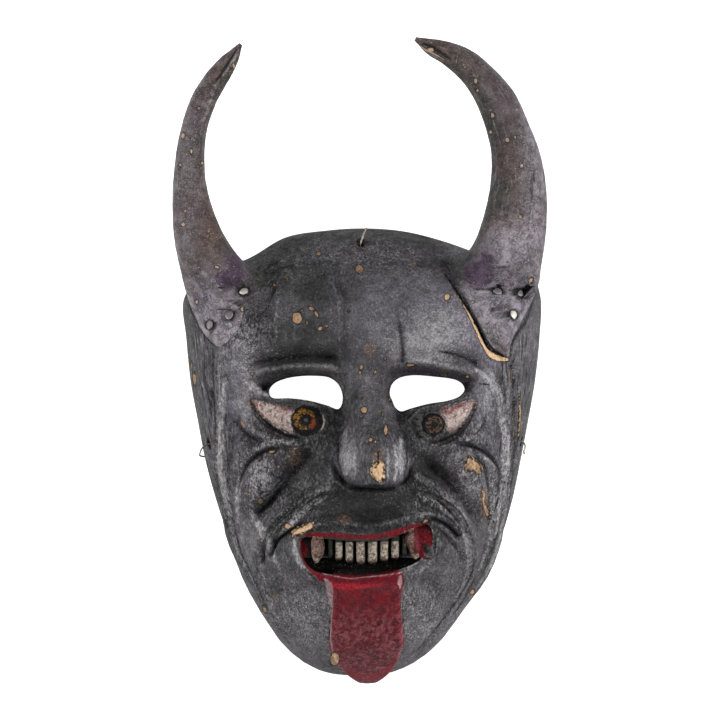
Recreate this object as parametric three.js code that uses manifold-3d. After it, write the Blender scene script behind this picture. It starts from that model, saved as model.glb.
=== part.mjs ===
// A carved wooden devil mask with two nailed-on horns, in millimetres.
// It lies on its flat back rim: +Z comes out of the face, +Y runs from chin to crown and +X is the
// viewer's right. Shapes are laid out in a face frame, with its origin on the rim plane near the nose
// tip, and the whole is then moved so that its origin is the bottom centre of its box.
import * as THREE from 'three';
import Module from 'manifold-3d';

const wasm = await Module();
wasm.setup();

// Shell
const DOME_DEPTH = 82; // from the rim plane to the crest of the plain dome under the carving
const DOME_FRONT_POWER = 3; // how flat the front stays before it turns down
const DOME_SIDE_POWER = 2.1; // how upright the sides stand on the rim
const WALL_SIDE = 9.5;
const WALL_FRONT = 15;
const RIM_OUTLINE = [
  [0, 124.8], [22, 123.2], [44, 117.8], [75, 106.5], [92, 100.5], [97.6, 88], [97.2, 64],
  [94.8, 41], [91, 19], [86.8, -3], [82.2, -25], [75.5, -47], [65.5, -69], [50.5, -91],
  [34, -108.5], [18, -118], [0, -120.6], [-21, -119], [-38.4, -109], [-53.2, -91], [-65.8, -69],
  [-73.5, -47], [-80.8, -25], [-86.8, -3], [-91, 19], [-95, 41], [-97.3, 64], [-98.6, 86],
  [-88.6, 98.6], [-62.8, 108.4], [-42.6, 119.8], [-20, 123.6],
];
const RELIEF_FADE = 14; // height over the rim plane in which the carving dies out
const TURN_FROM = 0.45; // share of the way to the rim where carving starts to lean with the dome
const TURN_TO = 0.85;

// Mesh spacing
const GRID_ACROSS = 45;
const GRID_ALONG = 51;
const INNER_STEP = 3; // the inside takes every third grid line
const SIDE_SHARE = 0.5; // how much of the grid the upright sides get for their height
const FINEST = 3; // the narrowest cut that this mesh can show
const GAP = 0.35; // between pieces that touch

// Face: each list of points is a line on the face that the carver's tool followed
const SWELLS = {
  leftForehead: { at: [-38, 75], size: [23, 19], rise: 5.5, turn: 0 },
  rightForehead: { at: [43, 72], size: [22, 20], rise: 6, turn: 0 },
  browLeftEnd: { at: [-66, 52], size: [14, 10], rise: 2, turn: 0 },
  leftSocket: { at: [-36, 31], size: [26, 15], rise: -7.5, turn: 0 },
  rightSocket: { at: [38, 31], size: [25, 15], rise: -7.5, turn: 0 },
  leftEyeball: { at: [-36, 20.5], size: [19, 9.5], rise: 6.5, turn: -12 },
  rightEyeball: { at: [43, 19.5], size: [17, 10], rise: 6.5, turn: 18 },
  leftInnerCorner: { at: [-12, 22], size: [5, 16], rise: -3, turn: 0 },
  rightInnerCorner: { at: [19, 22], size: [5, 16], rise: -3, turn: 0 },
  leftCheek: { at: [-56, -14], size: [12, 17], rise: 5, turn: 0 },
  rightCheek: { at: [57, -13], size: [10, 17], rise: 5, turn: 0 },
  leftCheekbone: { at: [-65, 4], size: [6, 8], rise: 3, turn: -25 },
  rightCheekbone: { at: [66, 10], size: [6, 8], rise: 2.5, turn: 25 },
  muzzle: { at: [2, -50], size: [40, 30], rise: 9, turn: 0 },
  leftMoustache: { at: [-24, -22], size: [12, 8], rise: 2.5, turn: 30 },
  rightMoustache: { at: [32, -20], size: [12, 8], rise: 2.5, turn: -30 },
  underNose: { at: [4, -28], size: [22, 8.5], rise: -5.5, turn: 0 },
  philtrum: { at: [4, -30], size: [9, 10], rise: -1.5, turn: 0 },
  chin: { at: [3, -95], size: [36, 20], rise: 6, turn: 0 },
  leftChinDip: { at: [-30, -74], size: [12, 5], rise: -2.5, turn: 10 },
  rightChinDip: { at: [33, -69], size: [11, 5], rise: -3, turn: -35 },
  leftTemple: { at: [-71, 18], size: [5, 12], rise: -2.5, turn: -20 },
  rightTemple: { at: [73, 28], size: [5, 16], rise: -2.5, turn: 0 },
};
const LINES = {
  leftUnderbrow: {
    path: [[-68, 47], [-60, 50.6], [-46, 54], [-30, 55.4], [-18, 54.6], [-9, 52]],
    rise: -4.6, width: 4.4, fade: [0.35, 0.25],
  },
  leftLid: {
    path: [[-68, 39.5], [-61, 44], [-54, 46.4], [-46, 47.8], [-36, 48.6], [-24, 48.6], [-15, 47],
      [-11.5, 43]],
    rise: 3.6, width: 2.2, fade: [0.25, 0.15],
  },
  leftSlotFunnel: {
    path: [[-58, 35.6], [-54, 37], [-49.5, 39.4], [-43, 41.8], [-36, 43], [-27, 43.4], [-18.5, 42.4],
      [-13.6, 39]],
    rise: -5.5, width: 2.6, fade: [0.12, 0.1],
  },
  rightBrowEdge: {
    path: [[17, 50], [25, 51.6], [34, 51.4], [43, 49.4], [51, 47.4], [58, 45], [66, 40.6]],
    rise: 3.4, width: 3.2, fade: [0.2, 0.2],
  },
  rightSlotFunnel: {
    path: [[15, 36.5], [16.6, 40.4], [20, 42.6], [26, 43.8], [38, 43.2], [51, 41.2], [56, 38.6],
      [60.5, 35.6]],
    rise: -6.5, width: 3.6, fade: [0.1, 0.12],
  },
  rightBrowFold: {
    path: [[40, 57.6], [48, 57.4], [55, 55.6], [60, 53], [62.6, 49.6], [63.6, 46]],
    rise: -3, width: 2.6, fade: [0.45, 0.2],
  },
  leftFrown: {
    path: [[-22, 101], [-17, 94], [-13.5, 86], [-13, 72], [-12.5, 60], [-12.5, 50]],
    rise: 1.8, width: 1.5, fade: [0.3, 0.1],
  },
  leftFrownDip: {
    path: [[-12, 98], [-9.5, 88], [-9, 74], [-9, 60], [-9, 50]],
    rise: -2.8, width: 3.6, fade: [0.3, 0.1],
  },
  rightFrown: {
    path: [[15, 92], [17, 84], [18.5, 74], [20.5, 64], [21.5, 55], [22, 50]],
    rise: -3.4, width: 2.6, fade: [0.35, 0.05],
  },
  leftEyeRim: {
    path: [[-63, 32], [-60, 27], [-56, 22], [-50.5, 16.8], [-45, 13.4], [-39, 11], [-32, 9.6],
      [-25, 9.6]],
    rise: -3, width: 1.5, fade: [0.12, 0.3],
  },
  leftEyeTop: {
    path: [[-63, 31.5], [-56, 30.6], [-48, 29.8], [-40, 28.8], [-30, 27.8], [-20, 24.5], [-14, 21]],
    rise: -1.6, width: 1, fade: [0.1, 0.2],
  },
  rightEyeRim: {
    path: [[62.5, 32], [61, 27], [57, 20.5], [53, 15.5], [48.5, 11.6], [43, 8.8], [37, 7.6], [31, 9]],
    rise: -3, width: 1.5, fade: [0.12, 0.3],
  },
  rightEyeTop: {
    path: [[62.5, 31], [55, 30.4], [48, 28.6], [40, 26.6], [32, 24.6], [27, 22]],
    rise: -1.6, width: 1, fade: [0.1, 0.2],
  },
  leftBag: {
    path: [[-67, 22], [-60, 14], [-52, 9.6], [-42, 7], [-32, 6]],
    rise: 2.2, width: 3, fade: [0.25, 0.3],
  },
  rightBag: {
    path: [[67, 22], [61, 12], [53, 7.6], [45, 5.4], [37, 4.4]],
    rise: 2.2, width: 3, fade: [0.25, 0.3],
  },
  leftTempleCrease: {
    path: [[-75, 26], [-70, 17], [-65, 12.4], [-58, 9], [-50, 7]],
    rise: -3.2, width: 2.6, fade: [0.35, 0.35],
  },
  rightTempleCrease: {
    path: [[68, 24], [66, 18], [62.5, 13], [58, 9.6]],
    rise: -2, width: 1.8, fade: [0.25, 0.35],
  },
  leftCheekArc: {
    path: [[-38, 4.6], [-46, 4.4], [-53, 2.6], [-60, -2], [-64.6, -8], [-67, -14], [-68.4, -22],
      [-68, -34]],
    rise: -3, width: 1.9, fade: [0.3, 0.35],
  },
  leftCheekHollow: {
    path: [[-24, 5], [-29, 1], [-34, -5], [-39, -11], [-44, -18], [-49, -25], [-54, -31.5], [-59, -41]],
    rise: -6.5, width: 4.8, fade: [0.25, 0.25],
  },
  rightCheekArc: {
    path: [[44, 7], [54, 6], [62, 4], [68, 0], [72.5, -5], [75.6, -12], [76.4, -22], [75.4, -34],
      [73, -46], [69, -58], [62.5, -70], [55, -81]],
    rise: -3, width: 1.4, fade: [0.12, 0.2],
  },
  rightCheekRoll: {
    path: [[60, 2.5], [67, -3], [71, -10], [72.4, -22], [71.6, -36], [68.4, -50], [63, -63], [56, -74]],
    rise: 3.4, width: 2.6, fade: [0.12, 0.25],
  },
  rightCheekInner: {
    path: [[50, 4], [58, 1], [63.4, -3], [66.6, -9], [68.2, -18], [69, -28], [68.6, -38], [66, -48]],
    rise: -2, width: 1.5, fade: [0.35, 0.25],
  },
  rightCheekHollow: {
    path: [[26, 3], [33, -4], [39.5, -9.6], [46, -15.4], [52, -22], [58, -28.6], [62.6, -35],
      [66, -43]],
    rise: -6.5, width: 5.2, fade: [0.25, 0.25],
  },
  leftLaugh: {
    path: [[-16, -8], [-18, -15], [-26, -20], [-33, -24.6], [-40, -30], [-46, -36], [-52, -43],
      [-56, -51], [-56, -61], [-52, -74], [-46, -86]],
    rise: 3.6, width: 3.6, fade: [0.1, 0.3],
  },
  rightLaugh: {
    path: [[24, -8], [31, -12], [40, -16.5], [47, -23], [53, -31], [57, -40], [58.6, -52], [57, -65],
      [51, -78], [43, -90]],
    rise: 3.6, width: 3.8, fade: [0.1, 0.3],
  },
  leftWingCrease: {
    path: [[-18.4, -4], [-17.4, -9], [-14, -14.6], [-8, -19]],
    rise: 1.4, width: 1.3, fade: [0.3, 0.3],
  },
  rightWingCrease: {
    path: [[26.5, -2], [25.6, -8], [22.4, -13.4], [18, -17]],
    rise: -1.2, width: 1.6, fade: [0.3, 0.3],
  },
  leftOuterFold: {
    path: [[-31, -24], [-37, -28], [-43, -32.4], [-48.5, -38.6], [-52.2, -46], [-53.8, -54],
      [-53, -63]],
    rise: -3.2, width: 1.25, fade: [0.3, 0.14],
  },
  leftInnerFold: {
    path: [[-27, -36.8], [-33, -37.6], [-38.5, -40.4], [-43, -43.4], [-46.6, -47], [-49.2, -52],
      [-50.4, -57]],
    rise: -3.4, width: 1.3, fade: [0.2, 0.12],
  },
  rightOuterFold: {
    path: [[34, -20], [40, -24], [46, -29], [51, -35.6], [54.6, -43], [56, -52]],
    rise: -1.9, width: 1.1, fade: [0.3, 0.3],
  },
  rightInnerFold: {
    path: [[34, -33], [39.5, -34.8], [44.6, -37.4], [49, -41], [52.6, -46]],
    rise: -3.8, width: 1.4, fade: [0.2, 0.12],
  },
  leftJawCut: {
    path: [[-71.6, -24], [-69.8, -42], [-66, -55], [-61, -65], [-57.4, -73], [-53.4, -82.5],
      [-49, -91]],
    rise: -3, width: 1.5, fade: [0.2, 0.15],
  },
  leftJawRoll: {
    path: [[-60, -58], [-57, -67], [-53, -76], [-48.6, -85], [-43, -94], [-37, -102]],
    rise: 2.6, width: 2.2, fade: [0.25, 0.25],
  },
  leftJawRollOut: {
    path: [[-70, -24], [-68, -38], [-64.6, -50], [-60.6, -60]],
    rise: 1.4, width: 2, fade: [0.2, 0.3],
  },
  rightJawCut: {
    path: [[61.6, -50], [60.8, -60], [57, -70], [51.6, -79], [45.6, -87.4], [38.4, -96.6],
      [30.6, -105.4], [24.5, -110.5]],
    rise: -3, width: 1.5, fade: [0.2, 0.15],
  },
  upperLip: {
    path: [[-38.5, -46], [-35, -41.4], [-28, -38], [-18, -36.4], [-8, -36.6], [0, -38], [8, -37.2],
      [16, -36], [26, -33.4], [34, -31.6], [41, -33], [47, -37]],
    rise: 2.8, width: 2.6, fade: [0.12, 0.16],
  },
  leftLipSide: {
    path: [[-38, -45], [-36, -53], [-32.6, -61], [-27, -68], [-21, -71]],
    rise: 2.2, width: 2.6, fade: [0.2, 0.3],
  },
  rightLipSide: {
    path: [[41, -40], [40, -50], [36, -58], [29, -64.6], [24, -68]],
    rise: 2.2, width: 2.6, fade: [0.2, 0.3],
  },
  leftSideRidge: {
    path: [[-78, 64], [-78.4, 44], [-77.6, 24], [-76.6, 8], [-76, -12], [-74.4, -28], [-71.8, -42],
      [-66.6, -56], [-60, -69], [-52, -83]],
    rise: 3.2, width: 2.6, fade: [0.12, 0.25],
  },
  rightSideRidge: {
    path: [[77, 52], [78.4, 38], [79, 18], [79.2, -2], [79, -18], [77.6, -34], [74.4, -48],
      [69.5, -61], [62, -74], [54, -86]],
    rise: 3.2, width: 2.6, fade: [0.12, 0.25],
  },
  leftSideGroove: {
    path: [[-82, 62], [-82, 46], [-81.4, 28], [-80.8, 8], [-80, -8], [-77.6, -28], [-73.6, -45]],
    rise: -3, width: 1.5, fade: [0.1, 0.25],
  },
  rightSideGroove: {
    path: [[81.6, 56], [82, 40], [82.4, 22], [82.4, 4], [81.6, -12], [79.6, -30], [75.6, -47],
      [70, -61]],
    rise: -3.4, width: 1.5, fade: [0.1, 0.25],
  },
};
const FROWN_BAND = { top: 110, bottom: 48, left: -11, right: 19.5, edge: 3, rise: 2.6 };

// Nose, by its height up the face: middle line, half widths of foot and crest, and how far it stands out
const NOSE = {
  up: [-19, -16, -11, -3, 6, 14, 30, 44, 58],
  middle: [6.5, 6.5, 6, 5.6, 5.2, 4.6, 3.4, 3.4, 4.5],
  foot: [15, 17, 19, 19.5, 18.5, 16, 12.5, 12.6, 16],
  crest: [3.5, 3.5, 3, 3, 4.5, 6.5, 8.2, 9.4, 11],
  rise: [25, 26, 26.5, 24, 19.5, 15.6, 9.6, 5, 0],
};
const NOSE_BASE = { up: -15.6, cut: 2.6, corner: 6, half: 18, middle: 6.5 };
const NOSE_WINGS = {
  left: { at: [-7.4, -5.5], size: [6.2, 8.4], rise: 3.2 },
  right: { at: [19.6, -5.5], size: [5.6, 8.8], rise: 3.2 },
};

// Openings
const LEFT_SLOT = [
  [-51.2, 35.6], [-48.5, 39.3], [-43, 41.8], [-36, 43.2], [-27, 43.6], [-18.5, 42.6], [-13.6, 39],
  [-11.2, 33], [-11.8, 27.6], [-13.6, 25.5], [-20, 27.6], [-30, 30.2], [-40, 31.4], [-50, 31.9],
];
const RIGHT_SLOT = [
  [14.6, 33.6], [15.6, 38.6], [19, 42], [26, 43.8], [38, 43.2], [51, 41.2], [54.6, 38.6],
  [55.4, 35.8], [52.6, 32.4], [46, 30], [36, 28.4], [26, 25.8], [20.6, 24.3], [17.6, 26.4], [16, 30],
];
const MOUTH = [
  [-33, -45], [-23, -45], [-10, -46], [1, -46.6], [12, -45.6], [21, -42.6], [29, -39.2],
  [35.4, -37.6], [38, -43], [36, -51], [30, -57.5], [20, -62], [9, -65], [-6, -66], [-17, -64.8],
  [-27, -62.4], [-32.4, -56],
];
const MOUTH_FLOOR = 64; // height of the blind back of the mouth over the rim plane
const MOUTH_BACKING = { at: [2, -54], size: [46, 26], rise: 13 }; // wood left inside behind it
const GUM = { left: -30, right: 34, top: -38, bottom: -55.5, back: 60, front: 78 };
const LIP_ROLL = { out: 2.5, width: 3.2, rise: 2 };
const TEETH = { edges: [-19.8, -15.8, -10.4, -4.6, 1.8, 8.6, 14.6, 20.2], top: -43, gap: 1, front: 83 };
const TOOTH_TIP = { middle: 1.5, low: -60, curve: 0.008 };
const FANGS = {
  left: { at: [-25.2, -50.5], size: [3.6, 8.2, 6], lean: 0.06 },
  right: { at: [27, -47.5], size: [4, 8.6, 6], lean: 0.28 },
};
const FANG_HEIGHT = 79;

// Tongue: its run down the face as height up the face, height over the rim, and half width
const TONGUE = [
  { up: -62, over: 70, half: 17.5 }, { up: -66, over: 82, half: 19.2 },
  { up: -70.5, over: 87.5, half: 19.6 }, { up: -80, over: 84.5, half: 18.6 },
  { up: -92, over: 75, half: 19.4 }, { up: -104, over: 61.5, half: 20.2 },
  { up: -113, over: 48, half: 18 }, { up: -120, over: 35, half: 13 },
  { up: -124.5, over: 24, half: 6.5 }, { up: -125.6, over: 18, half: 1.5 },
];
const TONGUE_MIDDLE = 2.2;
const TONGUE_THICK = 13;

// Holes and iron
const CORD_HOLE_RADIUS = 2.4;
const CROWN_HOLE = [-1, 117];
const TEMPLE_HOLES = { left: [-84.8, 6.5], right: [87, 7] };
const WIRE_RADIUS = 0.5;
const WIRE_SIDES = 5;
const NAIL = { head: 2.6, headHigh: 1.1, shank: 1.1, length: 11, buried: 0.5, headSides: 8, sides: 5 };
const NAILS = {
  left: [[-65, 89.5], [-73, 76.5], [-83.5, 71.5]],
  right: [[73.5, 89.5], [82, 77], [85.5, 89]],
};

// Horns, station by station from the tip of the nailed foot to the point of the horn: the two edges
// seen from the front, the middle height over the rim plane and half the thickness
const RIGHT_HORN = {
  inner: [
    [75, 53], [67, 59.5], [58.5, 76], [49.5, 91.5], [45, 101], [55, 109.5], [61, 119], [65.5, 132],
    [69, 149], [69.5, 165], [66.5, 179], [61, 193.5], [53, 205.5], [42.5, 214.5], [34, 220], [28, 227],
  ],
  outer: [
    [79.5, 54], [82, 64], [90, 78.5], [96.5, 92], [98.5, 103], [100, 113], [101.2, 124], [101.5, 140],
    [100, 155], [97, 167.5], [92, 180.5], [84.5, 197], [75.5, 208.5], [61, 221.2], [46, 227], [29, 229],
  ],
  middle: [36, 36, 38, 42, 45, 46, 46, 45, 44, 43, 43, 43.5, 45, 47, 49.5, 52],
  thick: [8, 9, 10, 13, 17, 18, 17, 15.5, 14.5, 13, 12, 10.8, 9.3, 7.5, 4.8, 1.2],
  proud: 5.5, squareness: 5,
};
const LEFT_HORN = {
  inner: [
    [-76, 59], [-68, 65], [-58, 75], [-51.5, 87], [-49, 97], [-62, 104], [-71.5, 114.5], [-79, 128],
    [-84.8, 146], [-86.3, 163], [-85, 178], [-80.5, 191.5], [-75.5, 201], [-71, 209], [-67.6, 217],
    [-66, 224.5],
  ],
  outer: [
    [-80.5, 60], [-88, 67.5], [-93.5, 78], [-98, 90], [-100.8, 101], [-103, 111.5], [-104.7, 125],
    [-105, 141], [-104.2, 154], [-102.3, 169], [-99, 183.5], [-94.2, 197], [-87, 208.5], [-79, 217.3],
    [-73, 222], [-67.6, 225.8],
  ],
  middle: [36, 36, 38, 42, 44, 45, 45, 44, 43, 42.5, 42.5, 43.5, 45, 47, 49.5, 51.5],
  thick: [7, 8, 9, 12, 15.5, 16, 15, 13.2, 11.6, 10.4, 9.3, 8.2, 7, 5.4, 3.6, 1],
  proud: 4, squareness: 2.6,
};
const FOOT_STATIONS = 4; // stations that lie on the forehead
const FOOT_SINK = 3; // how far the foot's back is laid into the wood before it is cut to fit
const HORN_SIDES = 12;
const HORN_STEPS = 22;
const HORN_ROUND = 2.3;
const BLEND = 8; // over which the foot on the forehead runs into the horn's limb

const clamp = (value) => Math.min(1, Math.max(0, value));
const smooth = (from, to, value) => {
  const t = clamp((value - from) / (to - from));
  return t * t * (3 - 2 * t);
};
const mix = (a, b, t) => a + (b - a) * t;
// The larger of two values, run into each other over a few millimetres
const higher = (a, b) => {
  const near = clamp(1 - Math.abs(a - b) / BLEND);
  return Math.max(a, b) + 0.25 * BLEND * near * near;
};

// A smooth value between rising keys
function along(keys, values, at) {
  const last = keys.length - 1;
  const x = Math.min(keys[last], Math.max(keys[0], at));
  let k = 0;
  while (k < last - 1 && x > keys[k + 1]) k += 1;
  const slope = (i) => {
    const a = Math.max(0, i - 1);
    const b = Math.min(last, i + 1);
    return (values[b] - values[a]) / (keys[b] - keys[a]);
  };
  const span = keys[k + 1] - keys[k];
  const t = (x - keys[k]) / span;
  const u = t * t * (3 - 2 * t);
  const bend = t * (1 - t) * span;
  return mix(values[k], values[k + 1], u) + bend * ((1 - t) * slope(k) - t * slope(k + 1));
}

function sampled(points, count, closed = false) {
  const curve = new THREE.CatmullRomCurve3(
    points.map(([x, y]) => new THREE.Vector3(x, y, 0)), closed, 'centripetal',
  );
  return curve.getPoints(count).map((p) => [p.x, p.y]);
}

// Nearest place on a line: how far off, and how far along from 0 to 1
function nearest(line, x, y) {
  let best = { off: Infinity, at: 0 };
  for (let k = 0; k + 1 < line.length; k += 1) {
    const [ax, ay] = line[k];
    const dx = line[k + 1][0] - ax;
    const dy = line[k + 1][1] - ay;
    const t = clamp(((x - ax) * dx + (y - ay) * dy) / (dx * dx + dy * dy));
    const off = Math.hypot(x - ax - dx * t, y - ay - dy * t);
    if (off < best.off) best = { off, at: (k + t) / (line.length - 1) };
  }
  return best;
}

function inside(outline, x, y) {
  let odd = false;
  for (let k = 0, j = outline.length - 1; k < outline.length; j = k, k += 1) {
    const [ax, ay] = outline[k];
    const [bx, by] = outline[j];
    if (ay > y !== by > y && x < ((bx - ax) * (y - ay)) / (by - ay) + ax) odd = !odd;
  }
  return odd;
}

const rimLine = sampled(RIM_OUTLINE, 480, true)
  .slice(0, -1)
  .map(([x, y]) => ({ turn: Math.atan2(y, x), reach: Math.hypot(x, y) }))
  .sort((a, b) => a.turn - b.turn);

// Distance from the face frame's origin to the rim in the direction of a point
function reachTowards(x, y) {
  const turn = Math.atan2(y, x);
  let low = 0;
  let high = rimLine.length;
  while (low < high) {
    const mid = (low + high) >> 1;
    if (rimLine[mid].turn < turn) low = mid + 1;
    else high = mid;
  }
  const b = rimLine[low % rimLine.length];
  const a = rimLine[(low + rimLine.length - 1) % rimLine.length];
  const span = (b.turn - a.turn + 2 * Math.PI) % (2 * Math.PI);
  const t = clamp(((turn - a.turn + 2 * Math.PI) % (2 * Math.PI)) / span);
  return mix(a.reach, b.reach, t);
}

const shareOut = (x, y) => Math.hypot(x, y) / reachTowards(x, y);

function domeHeight(share, depth) {
  return depth * (1 - Math.min(1, share) ** DOME_FRONT_POWER) ** (1 / DOME_SIDE_POWER);
}

const domeAt = (x, y) => domeHeight(shareOut(x, y), DOME_DEPTH);

function domeNormal(x, y, z) {
  const step = 0.05;
  const share = shareOut(x, y);
  const lean = DOME_FRONT_POWER * share ** (DOME_FRONT_POWER - 1);
  const up = (DOME_SIDE_POWER / DOME_DEPTH) * clamp(z / DOME_DEPTH) ** (DOME_SIDE_POWER - 1);
  return new THREE.Vector3(
    (lean * (shareOut(x + step, y) - shareOut(x - step, y))) / (2 * step),
    (lean * (shareOut(x, y + step) - shareOut(x, y - step))) / (2 * step),
    up,
  ).normalize();
}

const mouthLine = sampled(MOUTH, 60, true);
const cutLines = Object.values(LINES).map(({ path, rise, width, fade }) => ({
  line: sampled(path, 3 * path.length),
  fade,
  rise: rise * Math.min(1, 0.45 + (0.55 * width) / FINEST),
  width: Math.max(width, FINEST),
}));

function swell({ at, size, rise, turn = 0 }, x, y) {
  const [c, s] = [Math.cos((turn * Math.PI) / 180), Math.sin((turn * Math.PI) / 180)];
  const [dx, dy] = [x - at[0], y - at[1]];
  const q = ((c * dx + s * dy) / size[0]) ** 2 + ((c * dy - s * dx) / size[1]) ** 2;
  return rise * Math.exp(-q);
}

function noseRise(x, y) {
  if (y > NOSE.up[NOSE.up.length - 1] || y < NOSE.up[0]) return 0;
  const off = Math.abs(x - along(NOSE.up, NOSE.middle, y));
  const foot = along(NOSE.up, NOSE.foot, y);
  const crest = along(NOSE.up, NOSE.crest, y);
  const slope = clamp((foot - off) / (foot - crest));
  const share = 0.62 * slope + 0.38 * smooth(0, 1, slope);
  let height = along(NOSE.up, NOSE.rise, y) * share;
  for (const { at, size, rise } of Object.values(NOSE_WINGS)) {
    const q = ((x - at[0]) / size[0]) ** 2 + ((y - at[1]) / size[1]) ** 2;
    height += rise * Math.exp(-(q ** 1.4));
  }
  const { up, cut, corner, half, middle } = NOSE_BASE;
  const base = up + corner * ((x - middle) / half) ** 4;
  return height * smooth(base - cut, base, y);
}

function frownBand(x, y) {
  const { top, bottom, left, right, edge, rise } = FROWN_BAND;
  const across = smooth(left - edge, left + edge, x) * smooth(right + edge, right - edge, x);
  return rise * across * smooth(top, top - 28, y) * smooth(bottom - 16, bottom, y);
}

function lipRoll(x, y) {
  const { off } = nearest(mouthLine, x, y);
  if (inside(mouthLine, x, y)) return -LIP_ROLL.rise * smooth(0, LIP_ROLL.width, off);
  return LIP_ROLL.rise * Math.exp(-(((off - LIP_ROLL.out) / LIP_ROLL.width) ** 2));
}

function carving(x, y) {
  let height = noseRise(x, y) + frownBand(x, y) + lipRoll(x, y);
  for (const one of Object.values(SWELLS)) height += swell(one, x, y);
  for (const { line, rise, width, fade } of cutLines) {
    const { off, at } = nearest(line, x, y);
    if (off > 4 * width) continue;
    const ends = smooth(0, fade[0], at) * smooth(1, 1 - fade[1], at);
    height += rise * ends * Math.exp(-((off / width) ** 2));
  }
  return height;
}

// The carved front, over a point of the dome; extra swells it evenly outwards
function facePoint(x, y, z, extra = 0) {
  const lean = smooth(TURN_FROM, TURN_TO, shareOut(x, y));
  const normal = domeNormal(x, y, z);
  const way = new THREE.Vector3(normal.x * lean, normal.y * lean, normal.z).normalize();
  const rise = carving(x, y) * smooth(0, RELIEF_FADE, z);
  const point = new THREE.Vector3(x, y, z).addScaledVector(way, rise).addScaledVector(normal, extra);
  return [point.x, point.y, point.z];
}

// Grid lines from -1 to 1, closer together where the carving is fine
function gridLines(count, bands) {
  const steps = 400;
  const density = (s) => bands.reduce(
    (sum, { at, wide, gain }) => sum + gain * Math.exp(-(((s - at) / wide) ** 2)), 1,
  );
  const total = [0];
  for (let k = 0; k < steps; k += 1) total.push(total[k] + density(-1 + (2 * (k + 0.5)) / steps));
  return Array.from({ length: count + 1 }, (_, n) => {
    const want = (total[steps] * n) / count;
    let k = 0;
    while (k < steps - 1 && total[k + 1] < want) k += 1;
    return -1 + (2 * (k + (want - total[k]) / (total[k + 1] - total[k]))) / steps;
  });
}

// The dome's profile stepped evenly along its own length: share of the way out, and height
function profile(depth, reach) {
  const steps = 600;
  const rows = [{ run: 0, share: 0, height: depth }];
  for (let k = 1; k <= steps; k += 1) {
    const share = Math.sin((0.5 * Math.PI * k) / steps);
    const height = k === steps ? 0 : domeHeight(share, depth);
    const before = rows[k - 1];
    const run = before.run
      + Math.hypot((share - before.share) * reach, SIDE_SHARE * (height - before.height));
    rows.push({ run, share, height });
  }
  return (s) => {
    const want = s * rows[steps].run;
    let k = 0;
    while (k < steps - 1 && rows[k + 1].run < want) k += 1;
    const t = (want - rows[k].run) / (rows[k + 1].run - rows[k].run);
    return {
      share: mix(rows[k].share, rows[k + 1].share, t),
      height: mix(rows[k].height, rows[k + 1].height, t),
    };
  };
}

const linesAcross = gridLines(GRID_ACROSS, [{ at: 0.03, wide: 0.3, gain: 0.5 }]);
const linesAlong = gridLines(GRID_ALONG, [
  { at: -0.12, wide: 0.06, gain: 1.2 }, { at: -0.36, wide: 0.14, gain: 0.7 },
  { at: 0.32, wide: 0.12, gain: 0.5 },
]);

// A sheet of points over the disc inside the rim, with the loop of points along its edge
function sheet(across, along_, place) {
  const points = [];
  const faces = [];
  for (const j of along_) {
    for (const i of across) {
      const u = i * Math.sqrt(1 - (j * j) / 2);
      const v = j * Math.sqrt(1 - (i * i) / 2);
      points.push(place(Math.min(1, Math.hypot(u, v)), Math.atan2(v, u)));
    }
  }
  const wide = across.length;
  const high = along_.length;
  for (let b = 0; b + 1 < high; b += 1) {
    for (let a = 0; a + 1 < wide; a += 1) {
      const k = b * wide + a;
      const rising = (a < wide / 2) === (b < high / 2);
      if (rising) faces.push([k, k + 1, k + 1 + wide], [k, k + 1 + wide, k + wide]);
      else faces.push([k, k + 1, k + wide], [k + 1, k + 1 + wide, k + wide]);
    }
  }
  const edge = [];
  for (let a = 0; a < wide - 1; a += 1) edge.push(a);
  for (let b = 0; b < high - 1; b += 1) edge.push(b * wide + wide - 1);
  for (let a = wide - 1; a > 0; a -= 1) edge.push((high - 1) * wide + a);
  for (let b = high - 1; b > 0; b -= 1) edge.push(b * wide);
  return { points, faces, edge };
}

const onCircle = (share, turn) => [share * Math.cos(turn), share * Math.sin(turn)];

function outerSheet(extra = 0) {
  const at = profile(DOME_DEPTH, 105);
  return sheet(linesAcross, linesAlong, (s, turn) => {
    const { share, height } = at(s);
    const [ux, uy] = onCircle(1, turn);
    const reach = reachTowards(ux, uy);
    if (s >= 0.9999) {
      return [ux * (reach + extra), uy * (reach + extra), -extra];
    }
    return facePoint(ux * share * reach, uy * share * reach, height, extra);
  });
}

function innerSheet() {
  const depth = DOME_DEPTH - WALL_FRONT;
  const at = profile(depth, 95);
  const every = (line, index) => index % INNER_STEP === 0;
  return sheet(linesAcross.filter(every), linesAlong.filter(every), (s, turn) => {
    const { share, height } = at(s);
    const [ux, uy] = onCircle(1, turn);
    const reach = (reachTowards(ux, uy) - WALL_SIDE) * share;
    const [x, y] = [ux * reach, uy * reach];
    const backing = swell(MOUTH_BACKING, x, y) * smooth(0, 20, height);
    return [x, y, s >= 0.9999 ? 0 : height - backing];
  });
}

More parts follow.
